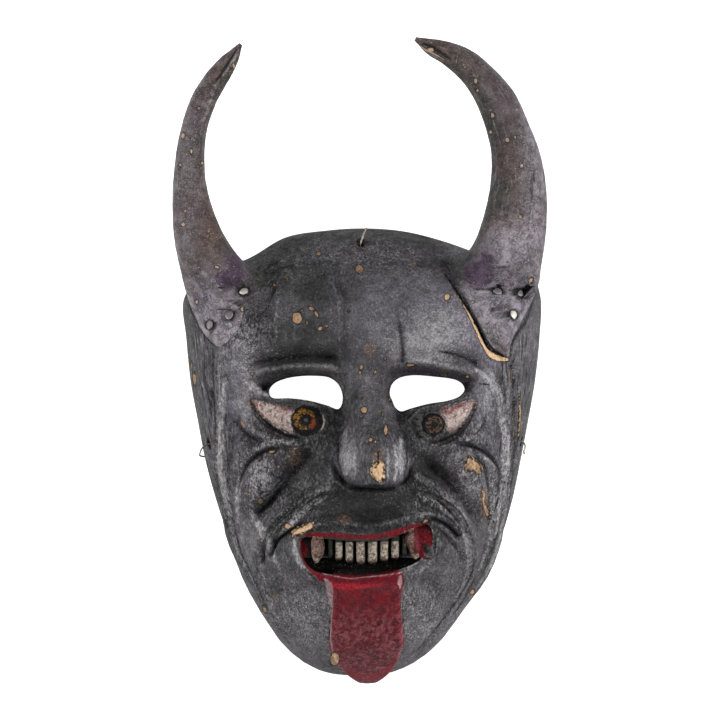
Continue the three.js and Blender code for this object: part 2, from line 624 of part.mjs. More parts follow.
// Joins two loops of different counts that run round the same middle
function zip(outerLoop, innerLoop, points) {
  const faces = [];
  const turnOf = (index) => Math.atan2(points[index][1], points[index][0]);
  const from = turnOf(outerLoop[0]);
  const unrolled = (loop) => {
    const turns = loop.map((index) => (turnOf(index) - from + 2 * Math.PI + 1e-9) % (2 * Math.PI));
    const start = turns.indexOf(Math.min(...turns));
    return loop.map((_, k) => {
      const n = (start + k) % loop.length;
      return { index: loop[n], turn: turns[n] };
    });
  };
  const outer = unrolled(outerLoop);
  const inner = unrolled(innerLoop);
  outer.push({ index: outer[0].index, turn: outer[0].turn + 2 * Math.PI });
  inner.push({ index: inner[0].index, turn: inner[0].turn + 2 * Math.PI });
  let a = 0;
  let b = 0;
  while (a + 1 < outer.length || b + 1 < inner.length) {
    const stepOuter = b + 1 >= inner.length
      || (a + 1 < outer.length && outer[a + 1].turn < inner[b + 1].turn);
    if (stepOuter) {
      faces.push([outer[a].index, inner[b].index, outer[a + 1].index]);
      a += 1;
    } else {
      faces.push([outer[a].index, inner[b].index, inner[b + 1].index]);
      b += 1;
    }
  }
  return faces;
}

function toSolid(points, faces) {
  return new wasm.Manifold(new wasm.Mesh({
    numProp: 3,
    vertProperties: new Float32Array(points.flat()),
    triVerts: new Uint32Array(faces.flat()),
  }));
}

function shell() {
  const outer = outerSheet();
  const inner = innerSheet();
  const shift = outer.points.length;
  const points = [...outer.points, ...inner.points];
  const innerLoop = inner.edge.map((index) => index + shift);
  const faces = [
    ...outer.faces,
    ...inner.faces.map(([a, b, c]) => [a + shift, c + shift, b + shift]),
    ...zip(outer.edge, innerLoop, points),
  ];
  return toSolid(points, faces);
}

// The room the shell takes up with its hollow filled in, which the horns are cut to fit
function filledShell() {
  const outer = outerSheet(GAP);
  const points = [...outer.points, [0, 0, -GAP]];
  const middle = points.length - 1;
  const closing = outer.edge.map((index, k) => [
    outer.edge[(k + 1) % outer.edge.length], index, middle,
  ]);
  return toSolid(points, [...outer.faces, ...closing]);
}

// A tube of rings, each a list of points, closed by a fan at both ends
function lofted(rings) {
  const sides = rings[0].length;
  const points = rings.flat();
  const faces = [];
  for (let r = 0; r + 1 < rings.length; r += 1) {
    for (let k = 0; k < sides; k += 1) {
      const next = (k + 1) % sides;
      const a = r * sides + k;
      const b = r * sides + next;
      faces.push([a, b, b + sides], [a, b + sides, a + sides]);
    }
  }
  const cap = (ring, flip) => {
    const centre = rings[ring].reduce(
      (sum, p) => sum.map((value, axis) => value + p[axis] / sides), [0, 0, 0],
    );
    points.push(centre);
    for (let k = 0; k < sides; k += 1) {
      const a = ring * sides + k;
      const b = ring * sides + ((k + 1) % sides);
      faces.push(flip ? [b, a, points.length - 1] : [a, b, points.length - 1]);
    }
  };
  cap(0, true);
  cap(rings.length - 1, false);
  const solid = toSolid(points, faces);
  return solid.volume() < 0
    ? toSolid(points, faces.map(([a, b, c]) => [a, c, b]))
    : solid;
}

// A straight-sided cut through an outline, from one height to another
const prism = (outline, low, high) => lofted(
  [low, high].map((height) => outline.map(([x, y]) => [x, y, height])),
);

const block = (x0, x1, y0, y1, z0, z1) => prism([[x0, y0], [x1, y0], [x1, y1], [x0, y1]], z0, z1);

// A round bar from one point to another
function bar(from, to, radius, sides) {
  const start = new THREE.Vector3(...from);
  const way = new THREE.Vector3(...to).sub(start).normalize();
  const side = new THREE.Vector3(0, 1, 0).cross(way);
  if (side.length() < 0.1) side.set(1, 0, 0);
  side.normalize();
  const other = way.clone().cross(side);
  const ring = (centre) => Array.from({ length: sides }, (_, k) => {
    const turn = (2 * Math.PI * k) / sides;
    return new THREE.Vector3(...centre)
      .addScaledVector(side, radius * Math.cos(turn))
      .addScaledVector(other, radius * Math.sin(turn))
      .toArray();
  });
  return lofted([ring(from), ring(to)]);
}

function blob({ at, size, lean }, height) {
  const ball = new THREE.SphereGeometry(1, 10, 6);
  const place = ball.attributes.position;
  const rings = [];
  for (let ring = 1; ring < 6; ring += 1) {
    rings.push(Array.from({ length: 10 }, (_, k) => {
      const index = ring * 11 + k;
      const [x, y, z] = [place.getX(index), place.getY(index), place.getZ(index)];
      return [at[0] + x * size[0] + lean * y * size[1], at[1] + y * size[1], height + z * size[2]];
    }));
  }
  return lofted(rings);
}

function tooth(left, right) {
  const { top, gap, front } = TEETH;
  const { middle, low, curve } = TOOTH_TIP;
  const mid = (left + right) / 2;
  const tip = low + curve * (mid - middle) ** 2;
  const [a, b] = [left + gap / 2, right - gap / 2];
  const outline = [[a, top], [a, tip + 1.2], [mix(a, b, 0.25), tip], [mix(a, b, 0.75), tip],
    [b, tip + 1.2], [b, top]];
  return prism(outline, GUM.back + 1, front - 0.006 * (mid - middle) ** 2);
}

function teeth() {
  const { left, right, top, bottom, back, front } = GUM;
  let row = block(left, right, bottom, top, back, front);
  for (let k = 0; k + 1 < TEETH.edges.length; k += 1) {
    row = row.add(tooth(TEETH.edges[k], TEETH.edges[k + 1]));
  }
  for (const fang of Object.values(FANGS)) row = row.add(blob(fang, FANG_HEIGHT));
  return row;
}

function tongue() {
  const stations = TONGUE.length;
  const keys = TONGUE.map((_, k) => k / (stations - 1));
  const pick = (name, t) => along(keys, TONGUE.map((row) => row[name]), t);
  const steps = 13;
  const rings = Array.from({ length: steps + 1 }, (_, k) => {
    const t = k / steps;
    const [up, over, half] = [pick('up', t), pick('over', t), pick('half', t)];
    const thick = TONGUE_THICK * smooth(1.12, 0.72, t);
    const section = [[-1, 0.35], [-0.97, 0.8], [-0.88, 1], [0, 1], [0.88, 1], [0.97, 0.8], [1, 0.35],
      [1, -1], [-1, -1]];
    const lean = clamp((-up - 66) / 60); // the back turns from straight in to up the face
    return section.map(([s, n]) => [
      TONGUE_MIDDLE + s * half,
      up + (1 - n) * 0.5 * thick * lean,
      over - (1 - n) * 0.5 * thick * (1 - 0.55 * lean),
    ]);
  });
  return lofted(rings);
}

// A wall hole for a wire, square to the dome at a point of its front
function wireHole([x, y]) {
  const z = domeAt(x, y);
  const way = domeNormal(x, y, z);
  const at = new THREE.Vector3(x, y, z);
  const from = at.clone().addScaledVector(way, 12).toArray();
  const to = at.clone().addScaledVector(way, -26).toArray();
  return bar(from, to, CORD_HOLE_RADIUS, 10);
}

// One station of a horn as a ring: on the forehead it lies on the dome, beyond it is a round limb
function hornRing(horn, t) {
  const keys = horn.middle.map((_, k) => k);
  const at = t * (keys.length - 1);
  const pick = (values) => along(keys, values, at);
  const inner = [pick(horn.inner.map((p) => p[0])), pick(horn.inner.map((p) => p[1]))];
  const outer = [pick(horn.outer.map((p) => p[0])), pick(horn.outer.map((p) => p[1]))];
  const [middle, thick] = [pick(horn.middle), pick(horn.thick)];
  const laid = smooth(FOOT_STATIONS + 1.2, FOOT_STATIONS - 1, at);
  const power = mix(HORN_ROUND, horn.squareness, laid);
  return Array.from({ length: HORN_SIDES }, (_, k) => {
    const turn = (2 * Math.PI * (k + 0.5)) / HORN_SIDES;
    const bend = (value) => Math.sign(value) * Math.abs(value) ** (2 / power);
    const [e, f] = [bend(Math.cos(turn)), bend(Math.sin(turn))];
    const x = mix(inner[0], outer[0], 0.5 + 0.5 * e);
    const y = mix(inner[1], outer[1], 0.5 + 0.5 * e);
    const limb = middle + f * thick;
    const ground = domeAt(x, y);
    const foot = ground + mix(-FOOT_SINK, horn.proud, 0.5 + 0.5 * f);
    return [x, y, higher(limb, foot)];
  });
}

function hornLimb(horn) {
  const rings = Array.from({ length: HORN_STEPS + 1 }, (_, k) => hornRing(horn, k / HORN_STEPS));
  return lofted(rings);
}

// A nail square to the forehead: where its head sits and which way it goes in
function nailLine([x, y], horn) {
  const z = domeAt(x, y);
  const way = domeNormal(x, y, z);
  const seat = new THREE.Vector3(x, y, z + horn.proud - NAIL.buried);
  const along_ = (distance) => seat.clone().addScaledVector(way, distance).toArray();
  return { along: along_ };
}

function nail(place, horn) {
  const { along: point } = nailLine(place, horn);
  const head = bar(point(0.2), point(0.2 + NAIL.headHigh), NAIL.head, NAIL.headSides);
  return head.add(bar(point(-NAIL.length), point(0.4), NAIL.shank, NAIL.sides));
}

function nailHole(place, horn) {
  const { along: point } = nailLine(place, horn);
  return bar(point(-NAIL.length - GAP), point(0.2), NAIL.shank + GAP, NAIL.sides);
}

const nailSeat = (place, horn) => {
  const { along: point } = nailLine(place, horn);
  return bar(point(-0.15), point(9), NAIL.head + GAP, NAIL.headSides);
};

// Wire bent through points, with square-cut ends
function wire(points) {
  const curve = new THREE.CatmullRomCurve3(points.map((p) => new THREE.Vector3(...p)));
  const steps = 11;
  const { normals, binormals } = curve.computeFrenetFrames(steps, false);
  const spots = curve.getSpacedPoints(steps);
  return lofted(spots.map((spot, n) => Array.from({ length: WIRE_SIDES }, (_, k) => {
    const turn = (2 * Math.PI * k) / WIRE_SIDES;
    return spot.clone()
      .addScaledVector(normals[n], WIRE_RADIUS * Math.cos(turn))
      .addScaledVector(binormals[n], WIRE_RADIUS * Math.sin(turn))
      .toArray();
  })));
}

// Points beside a hole: steps off it across, along the face and out of the wood
function besideHole([x, y], steps) {
  const z = domeAt(x, y);
  const way = domeNormal(x, y, z);
  const side = new THREE.Vector3(-way.y, way.x, 0).normalize();
  const third = way.clone().cross(side);
  return steps.map(([a, b, out]) => new THREE.Vector3(x, y, z)
    .addScaledVector(side, a).addScaledVector(third, b).addScaledVector(way, out).toArray());
}

function mesh(name, solid, colour, roughness, metalness) {
  const { vertProperties, triVerts, numProp } = solid.getMesh();
  const geometry = new THREE.BufferGeometry();
  const positions = numProp === 3 ? vertProperties : vertProperties.filter((_, k) => k % numProp < 3);
  geometry.setAttribute('position', new THREE.BufferAttribute(new Float32Array(positions), 3));
  geometry.setIndex(new THREE.BufferAttribute(new Uint32Array(triVerts), 1));
  geometry.computeVertexNormals();
  const made = new THREE.Mesh(
    geometry, new THREE.MeshStandardMaterial({ color: colour, roughness, metalness }),
  );
  made.name = name;
  return made;
}

const BLACK_PAINT = 0x3a383c;
const HORN_PAINT = 0x352d30;
const IRON = 0x4a4642;

function carvedMask() {
  let body = shell();
  body = body.subtract(prism(sampled(LEFT_SLOT, 22, true).slice(0, -1), 20, 110));
  body = body.subtract(prism(sampled(RIGHT_SLOT, 22, true).slice(0, -1), 20, 110));
  body = body.subtract(prism(sampled(MOUTH, 30, true).slice(0, -1), MOUTH_FLOOR, 110));
  body = body.add(teeth()).add(tongue());
  for (const place of [CROWN_HOLE, TEMPLE_HOLES.left, TEMPLE_HOLES.right]) {
    body = body.subtract(wireHole(place));
  }
  for (const place of NAILS.left) body = body.subtract(nailHole(place, LEFT_HORN));
  for (const place of NAILS.right) body = body.subtract(nailHole(place, RIGHT_HORN));
  return body;
}

function fittedHorn(horn, places) {
  let limb = hornLimb(horn).subtract(filledShell());
  for (const place of places) {
    limb = limb.subtract(nailHole(place, horn)).subtract(nailSeat(place, horn));
  }
  return limb;
}

const parts = new THREE.Group();
parts.add(mesh('mask', carvedMask(), BLACK_PAINT, 0.5, 0));
parts.add(mesh('horn_left', fittedHorn(LEFT_HORN, NAILS.left), HORN_PAINT, 0.55, 0));
parts.add(mesh('horn_right', fittedHorn(RIGHT_HORN, NAILS.right), HORN_PAINT, 0.55, 0));
NAILS.left.forEach((place, k) => {
  parts.add(mesh(`nail_left_${k + 1}`, nail(place, LEFT_HORN), IRON, 0.4, 0.9));
});
NAILS.right.forEach((place, k) => {
  parts.add(mesh(`nail_right_${k + 1}`, nail(place, RIGHT_HORN), IRON, 0.4, 0.9));
});
const CROWN_WIRE = [[0, 0.6, -14], [0.3, 0.8, -8], [0.4, 0.6, -2], [-1, -1.5, 3], [-3, -6.5, 5.5]];
const LEFT_WIRE = [[0, 0.4, -13], [0.6, 0.8, -5], [0.6, 0.8, 1.5], [2.6, 2, 5.2], [5.4, 1.4, 6.4],
  [6.8, -0.4, 3.4]];
const RIGHT_WIRE = [[0, 0.4, -13], [0.4, 0.8, -5], [0.2, 0.6, 1.2], [-2.2, 1.6, 2.8],
  [-4.4, 2.2, 2.6], [-6, 1, 2.9]];
parts.add(mesh('wire_crown', wire(besideHole(CROWN_HOLE, CROWN_WIRE)), IRON, 0.5, 0.9));
parts.add(mesh('wire_left', wire(besideHole(TEMPLE_HOLES.left, LEFT_WIRE)), IRON, 0.5, 0.9));
parts.add(mesh('wire_right', wire(besideHole(TEMPLE_HOLES.right, RIGHT_WIRE)), IRON, 0.5, 0.9));

const box = new THREE.Box3().setFromObject(parts);
parts.position.set(-(box.min.x + box.max.x) / 2, -(box.min.y + box.max.y) / 2, -box.min.z);

const devilMask = new THREE.Group();
devilMask.add(parts);
devilMask.updateMatrixWorld(true);

export default devilMask;
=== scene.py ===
"""A carved wooden devil mask with two nailed-on horns, lying face up on a pale floor.

Shapes are laid out in millimetres in a face frame (origin on the rim plane near the nose tip,
+X the viewer's right, +Y towards the crown, +Z out of the face) and moved to the object's frame
in metres.
"""

import math

import bpy
import numpy as np
from bpy.props import FloatProperty, FloatVectorProperty, PointerProperty
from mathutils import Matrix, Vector


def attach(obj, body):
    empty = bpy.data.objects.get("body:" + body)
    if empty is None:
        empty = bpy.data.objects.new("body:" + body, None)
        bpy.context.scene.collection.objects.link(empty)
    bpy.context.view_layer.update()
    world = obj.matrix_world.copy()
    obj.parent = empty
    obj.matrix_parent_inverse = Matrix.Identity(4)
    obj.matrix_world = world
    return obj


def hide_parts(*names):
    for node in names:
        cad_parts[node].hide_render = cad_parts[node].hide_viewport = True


bl_info = {
    "name": "Carved Devil Mask",
    "version": (1, 0, 0),
    "blender": (4, 5, 0),
    "location": "3D View > Sidebar > Mask",
    "description": "Carves and paints a horned wooden devil mask",
    "category": "Object",
}

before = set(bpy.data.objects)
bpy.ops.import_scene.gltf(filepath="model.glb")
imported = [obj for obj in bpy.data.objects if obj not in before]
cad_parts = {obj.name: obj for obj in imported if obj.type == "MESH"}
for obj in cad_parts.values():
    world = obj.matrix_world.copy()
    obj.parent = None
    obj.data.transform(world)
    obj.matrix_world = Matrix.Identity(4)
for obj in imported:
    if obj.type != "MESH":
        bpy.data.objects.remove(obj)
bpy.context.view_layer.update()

# The face frame's origin in the object's frame, mm
FACE_ORIGIN = np.array([1.7731, -51.6852, 0.0])
MM = 0.001

# ---------------------------------------------------------------- shell
DOME_DEPTH = 82.0
DOME_FRONT_POWER = 3.0
DOME_SIDE_POWER = 2.1
WALL_SIDE = 9.5
WALL_FRONT = 15.0
RIM_OUTLINE = [
    (0, 124.8), (22, 123.2), (44, 117.8), (75, 106.5), (92, 100.5), (97.6, 88), (97.2, 64),
    (94.8, 41), (91, 19), (86.8, -3), (82.2, -25), (75.5, -47), (65.5, -69), (50.5, -91),
    (34, -108.5), (18, -118), (0, -120.6), (-21, -119), (-38.4, -109), (-53.2, -91), (-65.8, -69),
    (-73.5, -47), (-80.8, -25), (-86.8, -3), (-91, 19), (-95, 41), (-97.3, 64), (-98.6, 86),
    (-88.6, 98.6), (-62.8, 108.4), (-42.6, 119.8), (-20, 123.6),
]
RELIEF_FADE = 14.0  # the carving fades in over this height above the rim
TURN_FROM, TURN_TO = 0.45, 0.85  # shares of the way out, where relief turns sideways
GRID_ACROSS, GRID_ALONG = 262, 284
INNER_ACROSS, INNER_ALONG = 84, 92
BANDS_ACROSS = [(0.02, 0.42, 0.5)]  # middle, width and gain of each finer band
BANDS_ALONG = [(-0.1, 0.4, 0.3), (-0.4, 0.12, 0.5), (0.3, 0.14, 0.4)]
OUTER_REACH, INNER_REACH = 105, 95  # typical reach, by which the steps are shared out
SIDE_SHARE = 0.5  # how much a step down the side wall counts
SHARP = dict(mask=48, horn=40, nail=55, wire=60)  # edges sharper than this stay sharp

# Broad forms: middle, half sizes, rise and turn in degrees
SWELLS = {
    "left_forehead": ((-38, 75), (23, 19), 5.5, 0),
    "right_forehead": ((43, 72), (22, 20), 6, 0),
    "brow_left_end": ((-66, 52), (14, 10), 2, 0),
    "left_socket": ((-36, 31), (26, 15), -7.5, 0),
    "right_socket": ((38, 31), (25, 15), -7.5, 0),
    "left_eyeball": ((-36, 20.5), (19, 9.5), 6.5, -12),
    "right_eyeball": ((43, 19.5), (17, 10), 6.5, 18),
    "left_inner_corner": ((-12, 22), (5, 16), -3, 0),
    "right_inner_corner": ((19, 22), (5, 16), -3, 0),
    "left_cheek": ((-56, -14), (12, 17), 5, 0),
    "right_cheek": ((57, -13), (10, 17), 5, 0),
    "left_cheekbone": ((-65, 4), (6, 8), 3, -25),
    "right_cheekbone": ((66, 10), (6, 8), 2.5, 25),
    "muzzle": ((2, -50), (40, 30), 9, 0),
    "left_moustache": ((-24, -22), (12, 8), 2.5, 30),
    "right_moustache": ((32, -20), (12, 8), 2.5, -30),
    "under_nose": ((4, -28), (22, 8.5), -5.5, 0),
    "philtrum": ((4, -30), (9, 10), -1.5, 0),
    "chin": ((3, -95), (36, 20), 6, 0),
    "left_chin_dip": ((-30, -74), (12, 5), -2.5, 10),
    "right_chin_dip": ((33, -69), (11, 5), -3, -35),
    "left_temple": ((-71, 18), (5, 12), -2.5, -20),
    "right_temple": ((73, 28), (5, 16), -2.5, 0),
    "left_nostril": ((-2, -18.6), (4.2, 1.6), -2.2, 0),
    "right_nostril": ((12.4, -18.2), (4.2, 1.6), -2.2, 0),
    "nose_tip_facet": ((8, -7), (3.4, 7), -0.8, 0),
}
# Lines that the carver's tool followed: path, rise, width, power, and the share that fades at
# each end
LINES = {
    "left_underbrow": ([(-68, 46), (-60, 49.8), (-46, 53.2), (-30, 54.6), (-18, 54), (-9, 52)],
                       -5.6, 3.2, 1.3, .3, .2),
    "left_lid": ([(-68, 39.5), (-61, 44), (-54, 46.8), (-46, 48.4), (-36, 49.4), (-24, 49.4),
                  (-15, 47.6), (-11.5, 43)],
                 3.6, 2.9, 2.6, .25, .15),
    "left_slot_funnel": ([(-58, 35.6), (-54, 37), (-49.5, 39.4), (-43, 41.8), (-36, 43.0),
                          (-27, 43.4), (-18.5, 42.4), (-13.6, 39)],
                         -5.5, 2.0, 2, .12, .1),
    "right_brow_edge": ([(17, 50), (25, 51.6), (34, 51.4), (43, 49.4), (51, 47.4), (58, 45),
                         (66, 40.6)],
                        3.4, 3.2, 2, .2, .2),
    "right_slot_funnel": ([(15, 36.5), (16.6, 40.4), (20, 42.6), (26, 43.8), (38, 43.2),
                           (51, 41.2), (56, 38.6), (60.5, 35.6)],
                          -6.5, 3.6, 2, .1, .12),
    "right_brow_crease": ([(36, 57.4), (44, 56.6), (53, 54.4), (60, 51), (64, 47)], -3.2, 1.5, 1.4,
                          .3, .3),
    "right_brow_fold": ([(40, 57.6), (48, 57.4), (55, 55.6), (60, 53), (62.6, 49.6), (63.6, 46)],
                        -2.0, 3.4, 2, .45, .3),
    "right_outer_lid": ([(48, 53), (56, 51.5), (61, 47), (68, 42)], 1.6, 3, 2, .3, .3),
    "left_frown": ([(-22, 101), (-17, 94), (-13.5, 86), (-13, 72), (-12.5, 60), (-12.5, 50)], 1.0,
                   1.5, 1.6, .3, .1),
    "left_frown_dip": ([(-12, 98), (-9.5, 88), (-9, 74), (-9, 60), (-9, 50)], -2.8, 3.6, 2, .3,
                       .1),
    "right_frown": ([(15, 92), (17, 84), (18.5, 74), (20.5, 64), (21.5, 55), (22, 50)], -2.4, 2.6,
                    1.6, .35, .05),
    "left_eye_rim": ([(-63, 32), (-60, 27), (-56, 22), (-50.5, 16.8), (-45, 13.4), (-39, 11),
                      (-32, 9.6), (-25, 9.6)],
                     -3, 1.5, 1.6, .12, .3),
    "left_eye_top": ([(-63, 31.5), (-56, 30.6), (-48, 29.8), (-40, 28.8), (-30, 27.8), (-20, 24.5),
                      (-14, 21)],
                     -1.6, 1.0, 1.6, .1, .2),
    "left_eye_inner": ([(-20, 25), (-18.5, 20), (-19, 15), (-22, 11.5)], -1.4, 1.0, 1.6, .2, .2),
    "right_eye_rim": ([(62.5, 32), (61, 27), (57, 20.5), (53, 15.5), (48.5, 11.6), (43, 8.8),
                       (37, 7.6), (31, 9)],
                      -3, 1.5, 1.6, .12, .3),
    "right_eye_top": ([(62.5, 31), (55, 30.4), (48, 28.6), (40, 26.6), (32, 24.6), (27, 22)], -1.6,
                      1.0, 1.6, .1, .2),
    "right_eye_inner": ([(27.5, 22), (27, 16), (29, 11), (33, 8.5)], -1.6, 1.1, 1.6, .2, .2),
    "left_bag": ([(-67, 22), (-60, 14), (-52, 9.6), (-42, 7), (-32, 6)], 2.2, 3.0, 2, .25, .3),
    "right_bag": ([(67, 22), (61, 12), (53, 7.6), (45, 5.4), (37, 4.4)], 2.2, 3.0, 2, .25, .3),
    "left_temple_crease": ([(-75, 26), (-70, 17), (-65, 12.4), (-58, 9), (-50, 7)], -3.2, 2.6, 1.8,
                           .35, .35),
    "right_temple_crease": ([(68, 24), (66, 18), (62.5, 13), (58, 9.6)], -2, 1.8, 1.6, .25, .35),
    "left_cheek_arc": ([(-38, 4.6), (-46, 4.4), (-53, 2.6), (-60, -2), (-64.6, -8), (-67, -14),
                        (-68.4, -22), (-68, -34)],
                       -3, 1.9, 1.6, .3, .35),
    "left_cheek_hollow": ([(-24, 5), (-29, 1), (-34, -5), (-39, -11), (-44, -18), (-49, -25),
                           (-54, -31.5), (-59, -41)],
                          -6.5, 4.8, 2, .25, .25),
    "left_hollow_cut": ([(-44, -16), (-49, -22.5), (-54, -28), (-58.5, -33)], -2.6, 1.6, 1.6, .4,
                        .12),
    "right_cheek_arc": ([(44, 7), (54, 6), (62, 4), (68, 0), (72.5, -5), (75.6, -12), (76.4, -22),
                         (75.4, -34), (73, -46), (69, -58), (62.5, -70), (55, -81)],
                        -3, 1.4, 1.5, .12, .2),
    "right_cheek_roll": ([(60, 2.5), (67, -3), (71, -10), (72.4, -22), (71.6, -36), (68.4, -50),
                          (63, -63), (56, -74)],
                         3.4, 2.6, 2, .12, .25),
    "right_cheek_inner": ([(50, 4), (58, 1), (63.4, -3), (66.6, -9), (68.2, -18), (69, -28),
                           (68.6, -38), (66, -48)],
                          -2.0, 1.5, 1.6, .35, .25),
    "right_cheek_hollow": ([(26, 3), (33, -4), (39.5, -9.6), (46, -15.4), (52, -22), (58, -28.6),
                            (62.6, -35), (66, -43)],
                           -6.5, 5.2, 2, .25, .25),
    "left_laugh": ([(-16, -8), (-18, -15), (-26, -20), (-33, -24.6), (-40, -30), (-46, -36),
                    (-52, -43), (-56, -51), (-56, -61), (-52, -74), (-46, -86)],
                   3.6, 3.6, 2, .1, .3),
    "right_laugh": ([(24, -8), (31, -12), (40, -16.5), (47, -23), (53, -31), (57, -40),
                     (58.6, -52), (57, -65), (51, -78), (43, -90)],
                    3.6, 3.8, 2, .1, .3),
    "left_wing_line": ([(-18.4, -4), (-17.4, -9), (-14, -14.6), (-8, -19)], 1.4, 1.3, 2, .3, .3),
    "right_wing_crease": ([(26.5, -2), (25.6, -8), (22.4, -13.4), (18, -17)], -1.2, 1.6, 2, .3,
                          .3),
    "left_outer_fold": ([(-31, -24), (-37, -28), (-43, -32.4), (-48.5, -38.6), (-52.2, -46),
                         (-53.8, -54), (-53, -63)],
                        -3.2, 1.25, 1.5, .3, .14),
    "left_inner_fold": ([(-27, -36.8), (-33, -37.6), (-38.5, -40.4), (-43, -43.4), (-46.6, -47),
                         (-49.2, -52), (-50.4, -57)],
                        -3.4, 1.3, 1.6, .2, .12),
    "left_moustache_line": ([(-37, -32), (-31.5, -24.8), (-25, -20.4), (-18, -18.6), (-12, -20.6)],
                            1.4, 1.5, 2, .3, .3),
    "right_outer_fold": ([(34, -20), (40, -24), (46, -29), (51, -35.6), (54.6, -43), (56, -52)],
                         -1.9, 1.1, 1.6, .3, .3),
    "right_inner_fold": ([(34, -33), (39.5, -34.8), (44.6, -37.4), (49, -41), (52.6, -46)], -3.8,
                         1.4, 1.6, .2, .12),
    "right_corner_crease": ([(38, -37), (43, -41.5), (47.6, -47), (52, -54), (54, -63)], -1.7, 1.3,
                            1.6, .2, .4),
    "left_jaw_cut": ([(-71.6, -24), (-69.8, -42), (-66, -55), (-61, -65), (-57.4, -73),
                      (-53.4, -82.5), (-49, -91)],
                     -3, 1.5, 1.6, .2, .15),
    "left_jaw_roll": ([(-60, -58), (-57, -67), (-53, -76), (-48.6, -85), (-43, -94), (-37, -102)],
                      2.6, 2.2, 2, .25, .25),
    "left_jaw_roll_out": ([(-70, -24), (-68, -38), (-64.6, -50), (-60.6, -60)], 1.4, 2, 2, .2, .3),
    "left_jaw_low_cut": ([(-50, -88), (-46, -95), (-41, -102), (-34, -109)], -1.8, 1.1, 1.6, .3,
                         .3),
    "right_jaw_cut": ([(61.6, -50), (60.8, -60), (57, -70), (51.6, -79), (45.6, -87.4),
                       (38.4, -96.6), (30.6, -105.4), (24.5, -110.5)],
                      -3, 1.5, 1.6, .2, .15),
    "right_jaw_inner": ([(56, -52), (56, -62), (52.6, -73), (46, -84), (39, -93)], -1.6, 1.1, 1.6,
                        .3, .3),
    "right_jaw_outer": ([(69, -40), (66, -52), (62.6, -63), (57.6, -75), (50, -87), (42, -97)],
                        -2.2, 1.2, 1.6, .25, .25),
    "upper_lip": ([(-38.5, -46), (-35, -41.4), (-28, -38), (-18, -36.4), (-8, -36.6), (0, -38),
                   (8, -37.2), (16, -36), (26, -33.4), (34, -31.6), (41, -33), (47, -37)],
                  2.8, 2.6, 2, .12, .16),
    "left_lip_side": ([(-38, -45), (-36, -53), (-32.6, -61), (-27, -68), (-21, -71)], 2.2, 2.6, 2,
                      .2, .3),
    "right_lip_side": ([(41, -40), (40, -50), (36, -58), (29, -64.6), (24, -68)], 2.2, 2.6, 2, .2,
                       .3),
    "left_side_ridge": ([(-78, 64), (-78.4, 44), (-77.6, 24), (-76.6, 8), (-76, -12), (-74.4, -28),
                         (-71.8, -42), (-66.6, -56), (-60, -69), (-52, -83)],
                        3.2, 2.6, 2.4, .12, .25),
    "right_side_ridge": ([(77, 52), (78.4, 38), (79, 18), (79.2, -2), (79, -18), (77.6, -34),
                          (74.4, -48), (69.5, -61), (62, -74), (54, -86)],
                         3.2, 2.6, 2.4, .12, .25),
    "left_ridge_back": ([(-71.6, 16), (-71.6, 2), (-71, -12)], -1.4, 1.8, 2, .4, .4),
    "left_side_groove": ([(-82, 62), (-82, 46), (-81.4, 28), (-80.8, 8), (-80, -8), (-77.6, -28),
                          (-73.6, -45)],
                         -3, 1.5, 1.8, .1, .25),
    "left_band_line": ([(-84.6, 64), (-84.2, 40), (-83.8, 14)], -1.4, .8, 1.6, .15, .2),
    "right_side_groove": ([(81.6, 56), (82, 40), (82.4, 22), (82.4, 4), (81.6, -12), (79.6, -30),
                           (75.6, -47), (70, -61)],
                          -3.4, 1.5, 1.8, .1, .25),
    "right_band_groove": ([(84, 62), (84.3, 40), (84, 20), (83, 0)], -1.0, .7, 1.6, .2, .3),
    "left_foot_crack": ([(-47.6, 96.5), (-48.6, 92), (-50, 86.6), (-52.2, 81.6), (-53.4, 79)],
                        -1.0, .5, 1.6, .2, .2),
    "right_foot_gap": ([(44.5, 99.6), (50, 91.3), (54, 84.8), (58.2, 78.6), (62, 71.6),
                        (65.5, 64.2), (69, 58.4), (75, 55.2), (79, 54)],
                       -2.4, .8, 1.8, .05, .1),
    "right_band_ridge": ([(85, 56), (85.2, 36), (85, 14), (84, 0), (82.6, -14)], 1.6, 1.2, 2, .15,
                         .25),
}
FROWN_BAND = dict(top=110, bottom=48, left=-11, right=19.5, edge=3, rise=2.6)
NOSE = dict(
    up=[-19, -16, -11, -3, 6, 14, 30, 44, 58],
    middle=[6.5, 6.5, 6, 5.6, 5.2, 4.6, 3.4, 3.4, 4.5],
    foot=[15, 17, 19, 19.5, 18.5, 16, 12.5, 12.6, 16],
    crest=[3.5, 3.5, 3, 3, 4.5, 6.5, 8.2, 9.4, 11],
    rise=[25, 26, 26.5, 24, 19.5, 15.6, 9.6, 5, 0],
)
NOSE_BASE = dict(up=-15.6, cut=2.6, corner=6, half=18, middle=6.5)
NOSE_WINGS = [((-7.4, -5.5), (6.2, 8.4), 3.2), ((19.6, -5.5), (5.6, 8.8), 3.2)]
LIP_ROLL = dict(out=2, width=3, rise=1.2, dip=2.4)
TOOL_MARKS = 0.22  # how far the knife's flats stand off the smooth form

